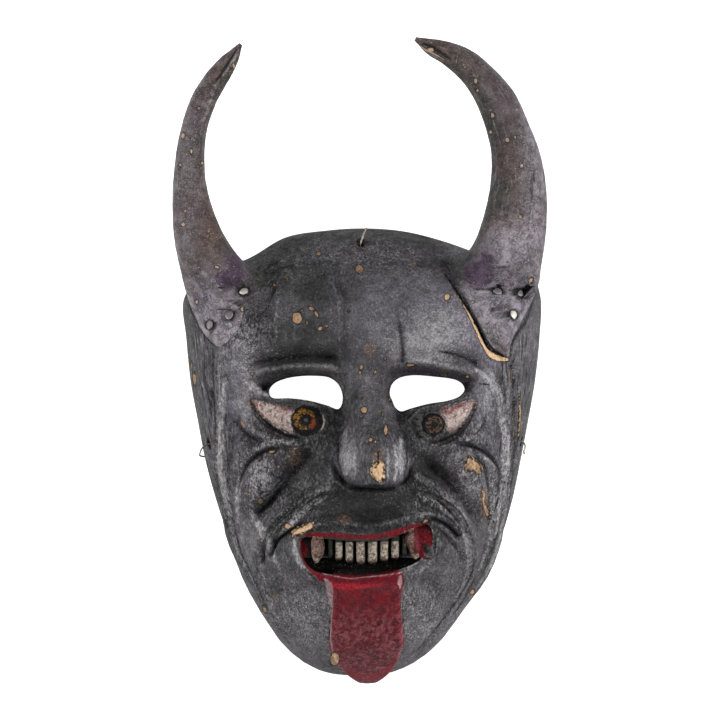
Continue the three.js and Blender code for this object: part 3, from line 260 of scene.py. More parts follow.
# Openings
LEFT_SLOT = [
    (-51.2, 35.6), (-48.5, 39.3), (-43, 41.8), (-36, 43.2), (-27, 43.6), (-18.5, 42.6),
    (-13.6, 39), (-11.2, 33), (-11.8, 27.6), (-13.6, 25.5), (-20, 27.6), (-30, 30.2), (-40, 31.4),
    (-50, 31.9),
]
RIGHT_SLOT = [
    (14.6, 33.6), (15.6, 38.6), (19, 42), (26, 43.8), (38, 43.2), (51, 41.2), (54.6, 38.6),
    (55.4, 35.8), (52.6, 32.4), (46, 30), (36, 28.4), (26, 25.8), (20.6, 24.3), (17.6, 26.4),
    (16, 30),
]
MOUTH = [
    (-33, -45), (-23, -45), (-10, -46), (1, -46.6), (12, -45.6), (21, -42.6), (29, -39.2),
    (35.4, -37.6), (38, -43), (36, -51), (30, -57.5), (20, -62), (9, -65), (-6, -66), (-17, -64.8),
    (-27, -62.4), (-32.4, -56),
]
MOUTH_FLOOR = 64.0
SLOT_FROM, CUTTER_TOP = 20, 112  # from the hollow to well over the nose
MOUTH_TOP = 96  # painted shade fills the mouth from its floor to here
MOUTH_BACKING = ((2, -54), (46, 26), 13)  # wood left behind the mouth
GUM = dict(left=-35, right=39, top=-36, bottom=-55.5, back=60, front=77.5)
TEETH_EDGES = [-19.8, -15.8, -10.4, -4.6, 1.8, 8.6, 14.6, 20.4, 24.4]
TOOTH_GAP, TOOTH_TOP, TOOTH_FRONT = 0.9, -42.0, 82.6
TOOTH_FEET = [-56.2, -57.6, -58.8, -59.4, -59.2, -58.2, -56.8, -55.4]
TOOTH_PAINT_TOP, IVORY_TOP = -44, -47
GUM_ENDS = ((27.5, 30.5), (-27.5, -29.5))  # the gum turns red towards both corners
FANGS = {  # line of middles with half widths across and out
    "left": [(-24.6, -43.5, 2.8, 4.5), (-24.7, -46.5, 3.5, 6), (-24.6, -50, 3.7, 6.4),
             (-24.9, -53.5, 3.2, 5.8), (-25.3, -56.4, 2.1, 3.8), (-25.5, -58.6, .6, 1.2)],
    "right": [(25.6, -39.5, 3.4, 4.5), (26.4, -44, 4.1, 6), (27, -47.6, 4.0, 6.4),
              (28, -51, 3.2, 5.6), (28.5, -54.2, 2.1, 3.8), (28.6, -56.4, .7, 1.4)],
}
FANG_HEIGHT = 78.6

# Tongue: height up the face, height over the rim and half width
TONGUE = [
    (-62, 70, 17.5), (-66, 82, 19.2), (-70.5, 87.5, 19.6), (-80, 84.5, 18.6), (-92, 75, 19.4),
    (-104, 61.5, 20.2), (-113, 48, 18), (-120, 35, 13), (-124.5, 24, 6.5), (-125.45, 18, 1.5),
]
TONGUE_MIDDLE = 2.2
# Its painted part by height up the face: the lowest it reaches and its half width
TONGUE_LOW = ([-125.6, -120, -104, -80, -66, -62], [10, 26, 52, 76, 72, 60])
TONGUE_HALF = ([-125.6, -124.5, -120, -113, -104, -92, -80, -70.5, -66, -62],
               [1.5, 6.5, 13, 18, 20.2, 19.4, 18.6, 19.6, 19.2, 17.5])
TONGUE_TOP, TONGUE_TIP = -62, -127
TONGUE_THICK = 13.0

# Holes and iron
CORD_HOLE_RADIUS = 2.4
WIRE_HOLES = {"crown": (-1, 117), "left": (-84.8, 6.5), "right": (87, 7)}
HOLE_DARK = dict(near=14, edge=4.2, full=3.6)  # painted shade in the bores of the holes
CROWN_FUNNEL = dict(radius=2.7, deep=5, high=9)  # the crown's hole is worn open towards the front
WIRES = {  # places along each wire: across the hole two ways, and out of it
    "crown": [(0, .6, -14), (.3, .8, -8), (.4, .6, -2), (-1, -1.5, 3), (-3, -6.5, 5.5)],
    "left": [(0, .4, -13), (.6, .8, -5), (.6, .8, 1.5), (2.6, 2, 5.2), (5.4, 1.4, 6.4),
             (6.8, -.4, 3.4)],
    "right": [(0, .4, -13), (.4, .8, -5), (.2, .6, 1.2), (-2.2, 1.6, 2.8), (-4.4, 2.2, 2.6),
              (-6, 1, 2.9)],
}
WIRE_RADIUS = 0.5
NAIL = dict(head=2.6, high=1.1, shank=1.1, length=11, buried=0.5)
NAILS = {
    "left": [(-65, 89.5), (-73, 76.5), (-83.5, 71.5)],
    "right": [(73.5, 89.5), (82, 77), (85.5, 89)],
}
GAP = 0.35

# Horns, from the tip of the nailed foot to the point
RIGHT_HORN = dict(
    inner=[(77, 54.6), (69.2, 60.6), (60.4, 76.4), (51, 92), (46.4, 100.6), (55, 109.5), (61, 119),
           (65.5, 132), (69, 149), (69.5, 165), (66.5, 179), (61, 193.5), (53, 205.5),
           (42.5, 214.5), (34, 220), (28, 227)],
    outer=[(79.5, 54), (82, 64), (90, 78.5), (96.5, 92), (98.5, 103), (100, 113), (101.2, 124),
           (101.5, 140), (100, 155), (97, 167.5), (92, 180.5), (84.5, 197), (75.5, 208.5),
           (61, 221.2), (46, 227), (29, 228.97)],
    middle=[36, 36, 38, 42, 45, 46, 46, 45, 44, 43, 43, 43.5, 45, 47, 49.5, 52],
    thick=[8, 9, 10, 13, 17, 18, 17, 15.5, 14.5, 13, 12, 10.8, 9.3, 7.5, 4.8, 1.2], proud=5.5,
    flush=0.75, squareness=5,
)
LEFT_HORN = dict(
    inner=[(-76, 59), (-68, 65), (-58, 75), (-51.5, 87), (-49, 97), (-62, 104), (-71.5, 114.5),
           (-79, 128), (-84.8, 146), (-86.3, 163), (-85, 178), (-80.5, 191.5), (-75.5, 201),
           (-71, 209), (-67.6, 217), (-66, 224.5)],
    outer=[(-80.5, 60), (-88, 67.5), (-93.5, 78), (-98, 90), (-100.8, 101), (-103, 111.5),
           (-104.7, 125), (-105, 141), (-104.2, 154), (-102.3, 169), (-99, 183.5), (-94.2, 197),
           (-87, 208.5), (-79, 217.3), (-73, 222), (-67.6, 225.8)],
    middle=[36, 36, 38, 42, 44, 45, 45, 44, 43, 42.5, 42.5, 43.5, 45, 47, 49.5, 51.5],
    thick=[7, 8, 9, 12, 15.5, 16, 15, 13.2, 11.6, 10.4, 9.3, 8.2, 7, 5.4, 3.6, 1], proud=4,
    flush=0.0, squareness=3.2,
)
HORNS = {"left": LEFT_HORN, "right": RIGHT_HORN}
FOOT_STATIONS = 4
FOOT_SINK = 3
HORN_ROUND = 2.3
HORN_SLIM = 0.976  # keeps the round section inside the faceted solid's reach
HORN_SIDES, HORN_STEPS = 72, 210
BLEND = 8.0

# Chips that show bare wood: middle, half sizes, turn
CHIPS = [
    ((-36, 75), (2.5, 3.2), 10), ((-28.2, 80.4), (1.8, .9), -30), ((-25.4, 77.2), (.8, 2.0), 25),
    ((-23.3, 69.3), (1.1, 1.0), 0), ((-20, 70.8), (.8, .7), 0), ((-33.5, 79.4), (.9, .6), 20),
    ((-30.6, 72.6), (.6, .8), 0), ((-2, 102), (2.1, 2.1), 0), ((-24.5, 110.5), (1.3, 1.1), 0),
    ((46, 86.5), (1.5, 1.7), 0), ((-41.5, 96), (.8, .8), 0), ((-48.5, 93.5), (1.0, .8), 0),
    ((-1, 48.5), (1.0, 1.2), 0), ((-1.5, 45.5), (.8, .9), 0), ((6.5, 45.5), (.7, 1.0), 0),
    ((12, 53), (.6, .6), 0), ((-8, 79), (.7, .6), 0), ((26, 49.5), (2.2, .8), -6),
    ((57, 43), (1.0, .8), 0), ((-60.5, 44.5), (.8, .8), 0), ((-92.5, 42), (.9, 3.4), 2),
    ((-94, 49), (.5, 1.6), 0), ((.5, 25), (1.7, 1.6), 0), ((12.3, 14), (.9, 2.8), 4),
    ((4.2, 8.8), (1.2, 1.1), 0), ((6.6, 7.6), (.8, .9), 0), ((-1, 21.4), (.6, .6), 0),
    ((-.6, 31.6), (.5, .6), 0), ((10.6, 23), (.5, 1.2), 8), ((14.6, 31), (.5, 1.3), 10),
    ((-50, 2), (1.8, .7), 8), ((-46, -6), (.8, .7), 0), ((-56, -25), (1.4, 1.8), 0),
    ((-62, -21), (.8, .8), 0), ((-41, -38.5), (1.5, 1.3), 0), ((34, -35.6), (1.7, .9), 28),
    ((-54, -84.5), (.8, 1.8), 25), ((60, -75), (1.0, 1.4), -25), ((-15.5, -111.5), (2.3, 3.6), -6),
    ((-40, 118.5), (1.0, .6), 0), ((42, 117), (.8, .6), 0), ((57.5, -2), (.9, .7), 0),
]
CHIP_SHAPES = [  # larger bare places with corners
    [(4.2, -7), (5.5, -5.1), (7, -6.2), (8, -3.6), (9.4, -2.6), (11, -3.8), (11.5, -9.6),
     (10.7, -12.9), (8.6, -13.2), (6, -11.8)],
    [(57.2, -1), (61.6, -2.4), (64.6, -6), (63.2, -9.6), (60, -8), (55.6, -7.6), (56, -4)],
    [(-38.6, -42.6), (-35.6, -39.2), (-31, -37.6), (-27.4, -37), (-26.8, -39.6), (-31, -41.2),
     (-36.6, -43.6)],
]
SCUFFS = [  # places rubbed to brown
    ((4, 58), (2.8, 4), 0), ((-37, 0), (4, 4.6), 0), ((-10, -34.6), (4.2, 2.0), -12),
    ((-49, -77.5), (1.6, 2), 0), ((28, 106), (1.6, 1.6), 0), ((44.5, 46.5), (2.2, 1.2), 0),
    ((-63, 29), (1.1, 2.2), 0), ((-13.5, 47), (1.3, 1.1), 0), ((8.2, -2), (3, 6), 0),
    ((66.6, -27), (2.6, 9), 6),
]
CRACKS = [
    [(-49, 96), (-47.5, 92), (-49.2, 88), (-51, 83)], [(-46, 102), (-41, 103.6), (-37, 104.5)],
    [(8.1, 4), (8.2, 0), (8.3, -3)], [(62.5, 39.4), (66.5, 39), (70, 38.6)],
]
# Painted eyes: the whole eye, then its whites
EYES = {
    "left": [(-61, 30.6), (-56, 29.8), (-48, 29), (-40, 27.8), (-31, 27.4), (-24, 25.2),
             (-20, 21.4), (-20, 16), (-24, 11.6), (-31, 10.4), (-38, 12), (-45, 14.6), (-51, 19),
             (-56.4, 24.6)],
    "right": [(61.8, 30.6), (56, 30), (48, 28.2), (40, 26), (33, 24.2), (27.4, 21.4), (26.4, 15.4),
              (29.4, 10.4), (36, 8.6), (43, 9.6), (48.6, 12.6), (53, 16.8), (57.8, 23)],
}
WHITES = [
    [(-60.5, 29.6), (-56, 29.2), (-50, 28), (-44, 26.6), (-39, 25), (-37, 20), (-37.5, 14.5),
     (-39.5, 12.4), (-45, 14.6), (-51, 18.6), (-56, 22.4)],
    [(61.5, 29.8), (57, 29.5), (50, 27.9), (43, 25.7), (42.6, 22), (45, 20.5), (45.5, 15),
     (48, 12.6), (53, 15.8), (57.4, 20.8), (60.4, 25.6)],
]
WHITE_CRESCENT = [(-22.6, 22.6, .55), (-21.2, 19, .55), (-22.8, 14.6, .55)]
EMBER = [(-27.6, 20.4, .4), (-27, 17.6, 1.5), (-28.4, 15, .8)]  # red glint in the amber iris
IRISES = [  # middle, radius and colour of each painted round
    ((-30.6, 19.2), 8.9, "dirt_and_shade"), ((-32.2, 20), 6.1, "amber"), ((-31, 19.5), 3.5, "pupil"),
    ((-31, 19.5), 1.0, "eye_grey"), ((38.3, 17.2), 6.5, "dirt_and_shade"), ((38.9, 17), 4.9, "iris"),
    ((39, 17), 2.1, "pupil"),
]
# Painted and worn lines about the mouth: places with half widths
RED_LINES = [
    [(-30, -43, 1.3), (-20, -43.6, 1.9), (-10, -44.3, 2.1), (0, -45, 2.1), (10, -44, 1.9),
     (20, -41.4, 2.1), (28, -38.8, 1.7), (34.5, -37.6, 1.1)],
    [(34.5, -37.4, 1.0), (36.4, -41, 1.1), (37, -47, .9), (36.6, -52, .8), (33.4, -56, .7)],
    [(-33.4, -45, .6), (-33.6, -51, .8), (-31, -58, 1.3), (-27, -62.5, 1.9), (-23, -65.4, 1.8)],
    [(-23, -66.4, 1.9), (-15, -68.2, 2.9), (-6, -69.4, 3.2), (2, -69.2, 3.2), (12, -68.4, 3.0),
     (20, -66.6, 2.2)],
]
# brighter red on the lower lip, and a painted highlight along the tongue's lower rim
BRIGHT_RED_AND_HIGHLIGHT_LINES = [
    [(-17, -70.6, .8), (-11, -71.4, 1.7), (-4, -71.4, 1.4), (3, -70.8, .8), (12, -69.4, .3)],
    [(-15.4, -113, 1), (-12, -117.6, 1.9), (-5, -120.8, 2.4), (1, -122.2, 2.4), (8, -121, 2.2),
     (13.4, -117.6, 1.8), (17, -113, 1)],
]
# pale rims of the lower lip and tongue, rubbed and partly a painted highlight
RUBBED_AND_LIT_LINES = [
    [(-21, -67, .5), (-18.8, -70, 1.7), (-18, -75, 1.6), (-17.2, -81, .6), (-17.4, -90, .3),
     (-17.6, -100, .3), (-16.8, -108, .2), (-16.4, -113, .2)],
    [(20.2, -66.4, 1.0), (20, -69.4, 1.2), (20.2, -72.4, .3)],
    [(-22, -64.2, .3), (-15, -65.7, .3), (-6, -67, .3), (0, -66.2, .3), (10, -65.2, .3),
     (20, -63.8, .3), (27, -61.4, .2)],
]
BARE_LINES = [  # bare wood along cracks and worn ridges
    [(49.3, 92.3, .3), (53, 86, .45), (56.6, 79.6, .5), (59.5, 74, .6), (62, 68.6, .75),
     (64.4, 63.4, .85), (67.2, 58.4, 1.0), (70.4, 54.8, 1.5), (74, 53.2, 1.5), (78.6, 52.5, .9)],
    [(85.5, 34, .3), (86, 25, .6), (85.5, 15, .6), (85, 9, .3)],
    [(64.8, -17.5, .3), (66.2, -21, .8), (65.8, -25, .5), (67.2, -29, .9), (68.4, -33, .8),
     (69, -37, .3)],
]

# Soft places of each tone: middle, half sizes, turn and strength
GLOWS = {
    "violet": [((42, 76), (28, 26), 0, .9), ((68, 60), (18, 40), 0, .6),
               ((-72, 60), (12, 40), 0, .6), ((20, -4), (6, 12), 0, .6),
               ((0, -100), (70, 22), 0, .4), ((48, -70), (16, 26), 0, .1),
               ((56, -14), (12, 16), 0, .6), ((-56, -14), (12, 16), 0, .4),
               ((5, 84), (14, 26), 0, .5), ((-6, 0), (7, 12), 0, .5), ((70, 10), (12, 24), 0, .5),
               ((-70, 20), (10, 30), 0, .5)],
    # deep: painted shade under the nose and over the upper lip, under the brows, in the cheek
    # hollows and round the slots, with darker paint on the left forehead
    "deep": [((-20, -28), (14, 7), 8, 1), ((5, -26), (15, 8), 0, 1), ((-34, -6), (13, 10), 40, .8),
             ((-37, 50), (25, 3), 4, .8), ((-13, -28), (16, 8), 0, .8),
             ((12, -27), (18, 9), 0, .8), ((40, -10), (18, 9), -45, .9),
             ((-34, 66), (22, 20), 0, .5), ((-36, 56.5), (26, 4.5), 4, 1),
             ((54, 53), (11, 5), -20, .8), ((-53.5, 38), (3.5, 6), 0, 1),
             ((58.6, 38), (4, 5), 0, 1), ((34, 45.5), (23, 3.2), -4, 1),
             ((15, 60), (4, 20), 0, .5), ((3, -39.5), (28, 3.4), 0, 1),
             ((52, 54.6), (11, 2.2), -18, .8), ((-34, 54), (27, 3), 3, .8)],
    # faded: chalky faded paint, and painted light where the nose's sides, brows, cheeks, chin,
    # crown and right forehead face the lights
    "faded": [((43, 72), (22, 18), 0, .9), ((32, 55), (14, 5), -5, .6),
              ((5, 80), (12, 22), 0, .25), ((-8, -1), (6, 10), 0, 1), ((80, -40), (8, 20), 20, .6),
              ((30, 62), (16, 9), 0, .7), ((50, 112), (10, 6), -35, 1),
              ((-56, 104), (8, 6), 30, .8), ((-65, 28), (7, 12), 0, .7),
              ((-60, -46), (8, 16), 25, .5), ((20, -2), (5, 9), 0, 1),
              ((-56, -12), (10, 14), 0, 1), ((57, -12), (10, 14), 0, 1),
              ((0, -90), (52, 22), 0, 1), ((-66, 56), (10, 16), 0, 1), ((68, 34), (7, 14), 0, .7),
              ((-28, -30), (8, 6), 35, .4), ((5, 50), (12, 14), 0, .1),
              ((50, -34), (7, 10), 45, .6), ((0, 112), (50, 9), 0, .35)],
    "rough": [((-54, 100), (12, 9), 0, 1), ((-62, 68), (14, 13), 0, .9),
              ((-54, -12), (14, 18), 20, 1), ((57, -12), (12, 18), -20, .8),
              ((-30, -26), (16, 9), 25, 1), ((34, -24), (16, 10), -25, 1),
              ((-36, 12), (26, 10), 0, .8), ((42, 12), (22, 10), 0, .8),
              ((0, 112), (60, 12), 0, .6), ((0, -86), (60, 20), 0, .3),
              ((2, -36), (34, 7), 0, .7)],
    "blood": [((-42, 26), (5, 2.6), 0, 1), ((-58, 28), (3.4, 2.2), 0, .9),
              ((46, 24.6), (5, 2.6), 10, 1), ((54, 27.6), (6, 1.6), 14, 1),
              ((48, 14), (2.4, 1.6), 0, .8), ((-50, 20), (5, 2), -30, .4)],
}
FRESH_PLACES = [  # where bare wood is newest
    ((-15.5, -111.5), (5, 6), 0, 1), ((8.2, -8), (6, 9), 0, 1), ((62, 70), (24, 30), 0, 1),
    ((-34, -39), (12, 6), 0, .6),
]
WORN_AND_SHEEN_LINES = [  # ridges rubbed pale and partly a painted sheen, with half widths
    [(-64.6, 40.4, .8), (-60.6, 37.6, 2.2), (-55, 34.6, 1.4), (-52.4, 33, .5)],
    [(-64.6, -4, .5), (-67.4, -14, .9), (-69, -24, .9), (-68.6, -34, .5)],
    [(-75.6, 42, .6), (-77, 30, 1.6), (-77.6, 18, 1.8), (-78.6, 4, 2), (-78.8, -6, 2),
     (-76.6, -18, 1.6), (-73, -32, 1)],
    [(-68.4, -26, .6), (-67, -12, 1), (-65.8, -4, 1), (-59, 3, 1), (-52, 6.9, 1.2), (-38, 8, .7)],
    [(-62, -30, .4), (-58, -37, 1.6), (-54, -43, 2.6), (-50, -52, 1.5), (-47, -60, .4)],
    [(-37.5, -46, .4), (-37, -52, 1.2), (-35.5, -57, 1.2), (-31, -63, .4)],
    [(-9.5, 14, .3), (-10, 2, .9), (-9, -10, .4)], [(-5, 10, .2), (-4.6, -2, .6), (-4.8, -12, .3)],
    [(17, 6, .3), (18.6, -4, 1), (17, -13, .4)], [(13.4, 4, .2), (13.8, -6, .6), (13.4, -13, .2)],
    [(70.6, 44, .8), (74.6, 33, 1.6), (76, 20, 1.8), (78.4, 8, 2.2), (77.8, -6, 2.2),
     (76.4, -20, 1.8), (73.4, -42, 1)],
    [(66.1, 0, .5), (69.4, -10, 1.1), (70.6, -22, 1), (69.6, -34, .5)],
    [(-20, -22, .4), (-30, -28, 1.4), (-38, -35.4, 1.6), (-44, -42, 1.4), (-47, -48, .5)],
    [(77, -36, .6), (74.6, -50, 1.2), (70, -62, .8)],
    [(67.4, -8, .5), (70.6, -18, 1), (71, -30, .8), (69, -42, .4)],
    [(30, -21, .5), (38, -24.6, 1.2), (46, -29, 1.4), (52, -35, 1.4), (55.5, -43, 1),
     (57, -54, .6)],
    [(22.4, 17, .5), (20.8, 9, .9), (20, -2, 1), (21, -9, .6)],
    [(-46.8, 84, .25), (-47.4, 75, .4), (-47.8, 65, .25)],
    [(62, 47, .6), (68, 42, 1.4), (72, 36, 1.2)],
]
CUT_LINES = [  # thin black lines, crumpled paint and the painted shadow under the nose
    [(-9, -17.2, .6), (0, -18.4, 1.3), (9, -18.8, 1.4), (17, -17.4, .7)],
    [(-46.2, 99.6, .3), (-48.4, 92, .5), (-52.4, 81, .5), (-58.6, 74.4, .2)],
    [(-52, 108, .3), (-47, 103, .7), (-44, 99, .3)],
    [(-50, 104, .3), (-45, 105.5, .5), (-41, 103, .3)],
    [(43.5, 107, .4), (45.6, 104, .7), (47.5, 101, .4)],
    [(42, 103.5, .3), (46, 105.5, .5), (49, 104, .3)],
    [(37.5, 120.5, .2), (42, 119.5, .5), (48, 117, .2)],
    [(-71.5, 20, .3), (-66, 14, .8), (-60, 9.5, .8), (-54.8, 6.7, .3)],
    [(-44, 34, .4), (-34, 32.4, .6), (-24, 28, .7), (-17, 23, .4)],
    [(24, 20, .4), (31, 26.4, .5), (44, 29.6, .5), (58, 33, .4)],
    [(94.5, 88, .5), (89.2, 74, .8), (82.4, 63.6, .8), (80.6, 54, .4)],
    [(-99.4, 90, .4), (-93.8, 79, .8), (-86.8, 66.4, .8), (-80.6, 59.6, .5)],
    [(-33, -61, .3), (-28, -65.4, .6), (-25, -68.6, .3)],
    [(-22.2, -18.7, .2), (-32.6, -24.6, .5), (-39.1, -31.1, .6), (-46.9, -37.6, .6),
     (-51.5, -45.5, .3)],
    [(-11.8, -37.6, .2), (-22.2, -36.3, .4), (-32.6, -37.6, .5), (-40.4, -41.5, .6),
     (-45.6, -45.5, .3)],
    [(23.1, -18.1, .2), (37.4, -20.7, .5), (50.5, -28.5, .6), (57, -37.6, .6), (59.6, -46.1, .3)],
    [(30.9, -25.9, .2), (42.6, -31.1, .4), (51.8, -38.9, .6), (54.4, -46.1, .3)],
    [(34.8, -35, .2), (45.2, -37.6, .5), (50.5, -45.5, .3)],
    [(63.5, 6.7, .2), (72, -2.5, .6), (74.4, -12.9, .6), (73.2, -25.9, .5), (71, -37.6, .2)],
    [(41.3, 5.4, .2), (55.7, 7.3, .5), (66.1, 2.7, .3)],
    [(-61.3, 30.1, .4), (-58, 21, .6), (-49.6, 14.5, .7), (-39.1, 10.6, .7), (-30, 11.2, .4)],
    [(33.5, 8, .3), (45.2, 6.7, .5), (54.4, 13.2, .6), (62.2, 26.2, .4)],
    [(-13.1, 6.7, .2), (-13.7, -2.5, .6), (-9.2, -15.5, .4)],
    [(23.1, 9.3, .2), (23.8, -2.5, .5), (22.5, -12.9, .3)],
]
FOOT_GAP = [  # open crack along the right foot, painted black as shade in the gap
    (44.5, 99.4, .3), (50, 91.3, .4), (54, 84.8, .5), (58.2, 78.6, .6), (62, 71.6, .6),
    (65.5, 64.2, .7), (69, 58.4, .7), (75, 55.4, .6), (79, 54, .2),
]

# Paint and wear of the horns
BRIGHT_NAILS = (("left", 0), ("right", 1))
HORN_CHIPS = {
    "left": [((-98.5, 175), (.9, 1.6), 0), ((-94, 166.5), (.7, 1.4), 0), ((-88, 160), (.8, .8), 0),
             ((-100, 159), (.6, 1.0), 0), ((-97.4, 133.5), (.8, .8), 0),
             ((-98.4, 126.4), (.9, 1.2), 0), ((-70.6, 213), (.7, 1.5), 20),
             ((-90, 190), (.6, .9), 0), ((-80, 103), (1.2, .9), 0), ((-66, 80), (1.0, 1.3), 0),
             ((-91, 84), (.8, 1.1), 0)],
    "right": [((61.6, 205), (.9, 1.4), 0), ((62.6, 199.6), (.7, .9), 0),
              ((70.8, 186), (.9, 1.4), 0), ((69.8, 177), (.8, 1.0), 0),
              ((79, 172.6), (1.0, 1.4), 0), ((83, 174), (.7, .8), 0),
              ((86.8, 158.4), (.9, 1.1), 0), ((92, 147), (.5, 4.4), 2),
              ((86, 130.6), (1.2, 1.0), 0), ((37, 222), (1.6, 1.0), 0), ((92, 96), (.8, 1.4), 0),
              ((60, 84), (1.0, .7), 0)],
}
HORN_BARE_LINES = {
    "left": [],
    "right": [[(30, 225, .3), (33, 222.6, .5), (38, 220.1, .4), (42.6, 217.6, .3), (45, 216, .1)],
              [(91.2, 96, .6), (91.6, 92.4, .4)]],
}
HORN_TIPS = {  # dark lines by the points
    "left": [(-69, 222, .4), (-73, 216, .8), (-76.4, 210.6, 1.0), (-80, 205, .5)],
    "right": [(33, 225.4, .5), (38, 223.2, 1.0), (44, 219.4, 1.0), (48, 216.6, .4)],
}
PURPLE_PLACES = {
    "left": [((-73, 97), (9, 5.5), 15), ((-70, 106), (5, 4), 0)],
    "right": [((63, 99), (8, 8), 0), ((68, 106), (4, 6), 10)],
}
# pale strokes on the horns: chalky paint, and a painted highlight along the right foot's outer
# edge
PALE_AND_HIGHLIGHT_STROKES = {
    "left": [[(-87, 100, .6), (-84, 96.6, 1.2), (-80, 91.5, 1.2), (-78, 86, 1.4), (-74.6, 83, 1.3),
              (-69, 80.8, .7)],
             [(-97, 90, .4), (-93, 80, .6), (-88, 70.4, .5), (-84, 64.8, .4)],
             [(-102.6, 124, .3), (-101.4, 112, .5), (-99.6, 104, .3)],
             [(-67.6, 86.6, .8), (-65.6, 85.4, .4)],
             [(-87, 192, .6), (-84.6, 189, .9), (-87.4, 184, .7)],
             [(-79, 205, .4), (-84, 193.5, .6)],
             [(-69, 221, .3), (-71, 216, .6), (-76.6, 208, .5)]],
    "right": [[(74, 110, .8), (74.6, 104, 1.6), (74, 98, 1.8), (73.6, 95.6, .8)],
              [(77.6, 109, .6), (78.6, 104.6, .7)], [(91, 98.6, .3), (92.6, 94, .4)],
              [(81.6, 62, .3), (87.8, 73, .5), (91, 82, .4), (92.8, 88, .2)],
              [(83.6, 97, .4), (81, 103, .3)], [(31, 223.4, .5), (36, 220.2, .8), (43, 216.2, .6)],
              [(72, 118, .3), (75, 126, .5), (77, 138, .3)],
              [(79, 114, .3), (82, 124, .5), (84, 134, .3)],
              [(95, 196, .3), (88, 194, .5), (84, 201, .4)]],
}
HORN_CRACKS = {
    "left": [[(-77.4, 91.8), (-73, 92.6), (-68.4, 94)], [(-80, 79.6), (-76, 80.4), (-73.6, 80)],
             [(-72, 84.6), (-68, 82.6), (-64.8, 80.8)], [(-91.8, 100.6), (-91, 99)],
             [(-86.6, 73), (-84.4, 74), (-82, 72.4), (-81.8, 69), (-83.4, 66.8)],
             [(-76, 79), (-71.4, 79.6), (-70.4, 76), (-72.4, 73.4), (-75, 74)]],
    "right": [[(61, 91.6), (64.4, 90.6), (68, 91.2), (71, 93.8), (75, 93.4), (78, 91)],
              [(72.4, 104.4), (76, 103.6), (79.4, 101.8)],
              [(93, 95.4), (93.3, 92.4), (93.4, 89.6)],
              [(82, 90.6), (86, 91.6), (87.8, 89), (87, 85)],
              [(78, 76), (77.6, 73.6), (79.6, 72.6)], [(93.6, 156.6), (93.4, 149.6)],
              [(70, 80.6), (72, 78.4), (76, 76.4)], [(56, 106.6), (58.6, 110.2)]],
}
HORN_GLOWS = {
    "rust_tint": {"left": [((-84, 118), (8, 12), 0, .8), ((-90, 150), (6, 14), 0, .5),
                           ((-78, 212), (7, 9), -40, .6), ((-98, 101), (4, 8), 0, .5)],
                  "right": [((75, 117), (8, 7), 20, .9), ((44, 222), (14, 5), -25, .8),
                            ((86, 152), (7, 16), 0, .5)]},
    "violet": {"left": [((-82, 84), (14, 18), 0, .8), ((-70, 104), (7, 8), 10, .9),
                        ((-90, 185), (6, 10), 0, .5)],
               "right": [((80, 84), (14, 18), 0, .9), ((68, 108), (7, 9), 10, .9),
                         ((76, 195), (8, 14), 30, .4)]},
    # faded: chalky paint on the horns' feet, and painted light on the feet and along the horns'
    # outer edges
    "faded": {"left": [((-82, 82), (14, 14), 20, 1), ((-76, 68), (9, 9), 0, 1),
                       ((-95, 150), (8, 50), 0, .25)],
              "right": [((80, 80), (12, 20), 20, 1), ((64, 82), (10, 14), 40, 1),
                        ((74, 104), (5, 9), 0, .5), ((92, 150), (7, 45), 0, .5),
                        ((80, 116), (14, 12), 0, .8)]},
    "deep": {"left": [((-53, 95), (9, 9), 30, 1), ((-61, 80), (7, 6), 45, .6),
                      ((-98, 168), (4, 5), 0, .6)],
             "right": [((50, 99), (6, 7), 0, .7)]},
}
HORN_DENTS = {  # middle, half sizes, turn and rise
    "left": [((-73.6, 88.4), (4.6, 2.6), -10, -1.3)],
    "right": [((77.6, 75.6), (2.4, 2.6), 0, -0.9), ((47.6, 103.8), (2.2, 2.2), 0, 0.5)],
}

# Limits, textures and the stage
FAR_OUT = -6.0  # mm outside a mark, beyond which no one asks
CHIP_REACH = 6  # a whole number, so that depths in chips step by whole mm
UNPAINTED = -8.0  # stored where a mark can't be
HORN_BACK = 38  # marks lie on the horns over this height
SIDES_FROM, SIDES_TO, SIDES_TOP = 70, 77, 66  # streaks run on the walls beyond this
UP_THE_SIDES, BRUSHED = (1.0, 0.06, 1.0), (1.0, 0.42, 1.0)  # how the noise is drawn out
IRIS_SQUASH = (1000.0, 1060.0, 0.0)  # metres to mm, a little flat
FLOOR_LEVEL = -0.0004
FLOOR_HALF = 3
SKY = 0.045  # strength of the white room
LIGHTS_AIM = (0.0, -0.03, 0.05)
SENSOR, FOCUS_HEIGHT, FAR_END = 36.0, 0.06, 20
CAMERA_SHIFT = (0.00012, 0.00057)  # the photo's middle isn't quite the object's


# ---------------------------------------------------------------- small sums
def smooth(start, stop, value):
    t = np.clip((value - start) / (stop - start), 0, 1)
    return t * t * (3 - 2 * t)


def mix(a, b, t):
    return a + (b - a) * t


def higher(a, b):
    near = np.clip(1 - np.abs(a - b) / BLEND, 0, 1)
    return np.maximum(a, b) + 0.25 * BLEND * near * near


def circle(count):
    """Angles spread evenly round a full turn."""
    return 2 * math.pi * np.arange(count) / count


def along(keys, values, at):
    """A smooth value between rising keys."""
    keys, values = np.asarray(keys, float), np.asarray(values, float)
    count = np.arange(len(keys))
    before, after = np.maximum(count - 1, 0), np.minimum(count + 1, len(keys) - 1)
    slope = (values[after] - values[before]) / (keys[after] - keys[before])
    x = np.clip(at, keys[0], keys[-1])
    k = np.clip(np.searchsorted(keys, x, side="right") - 1, 0, len(keys) - 2)
    span = keys[k + 1] - keys[k]
    t = (x - keys[k]) / span
    bend = t * (1 - t) * span * ((1 - t) * slope[k] - t * slope[k + 1])
    return mix(values[k], values[k + 1], t * t * (3 - 2 * t)) + bend


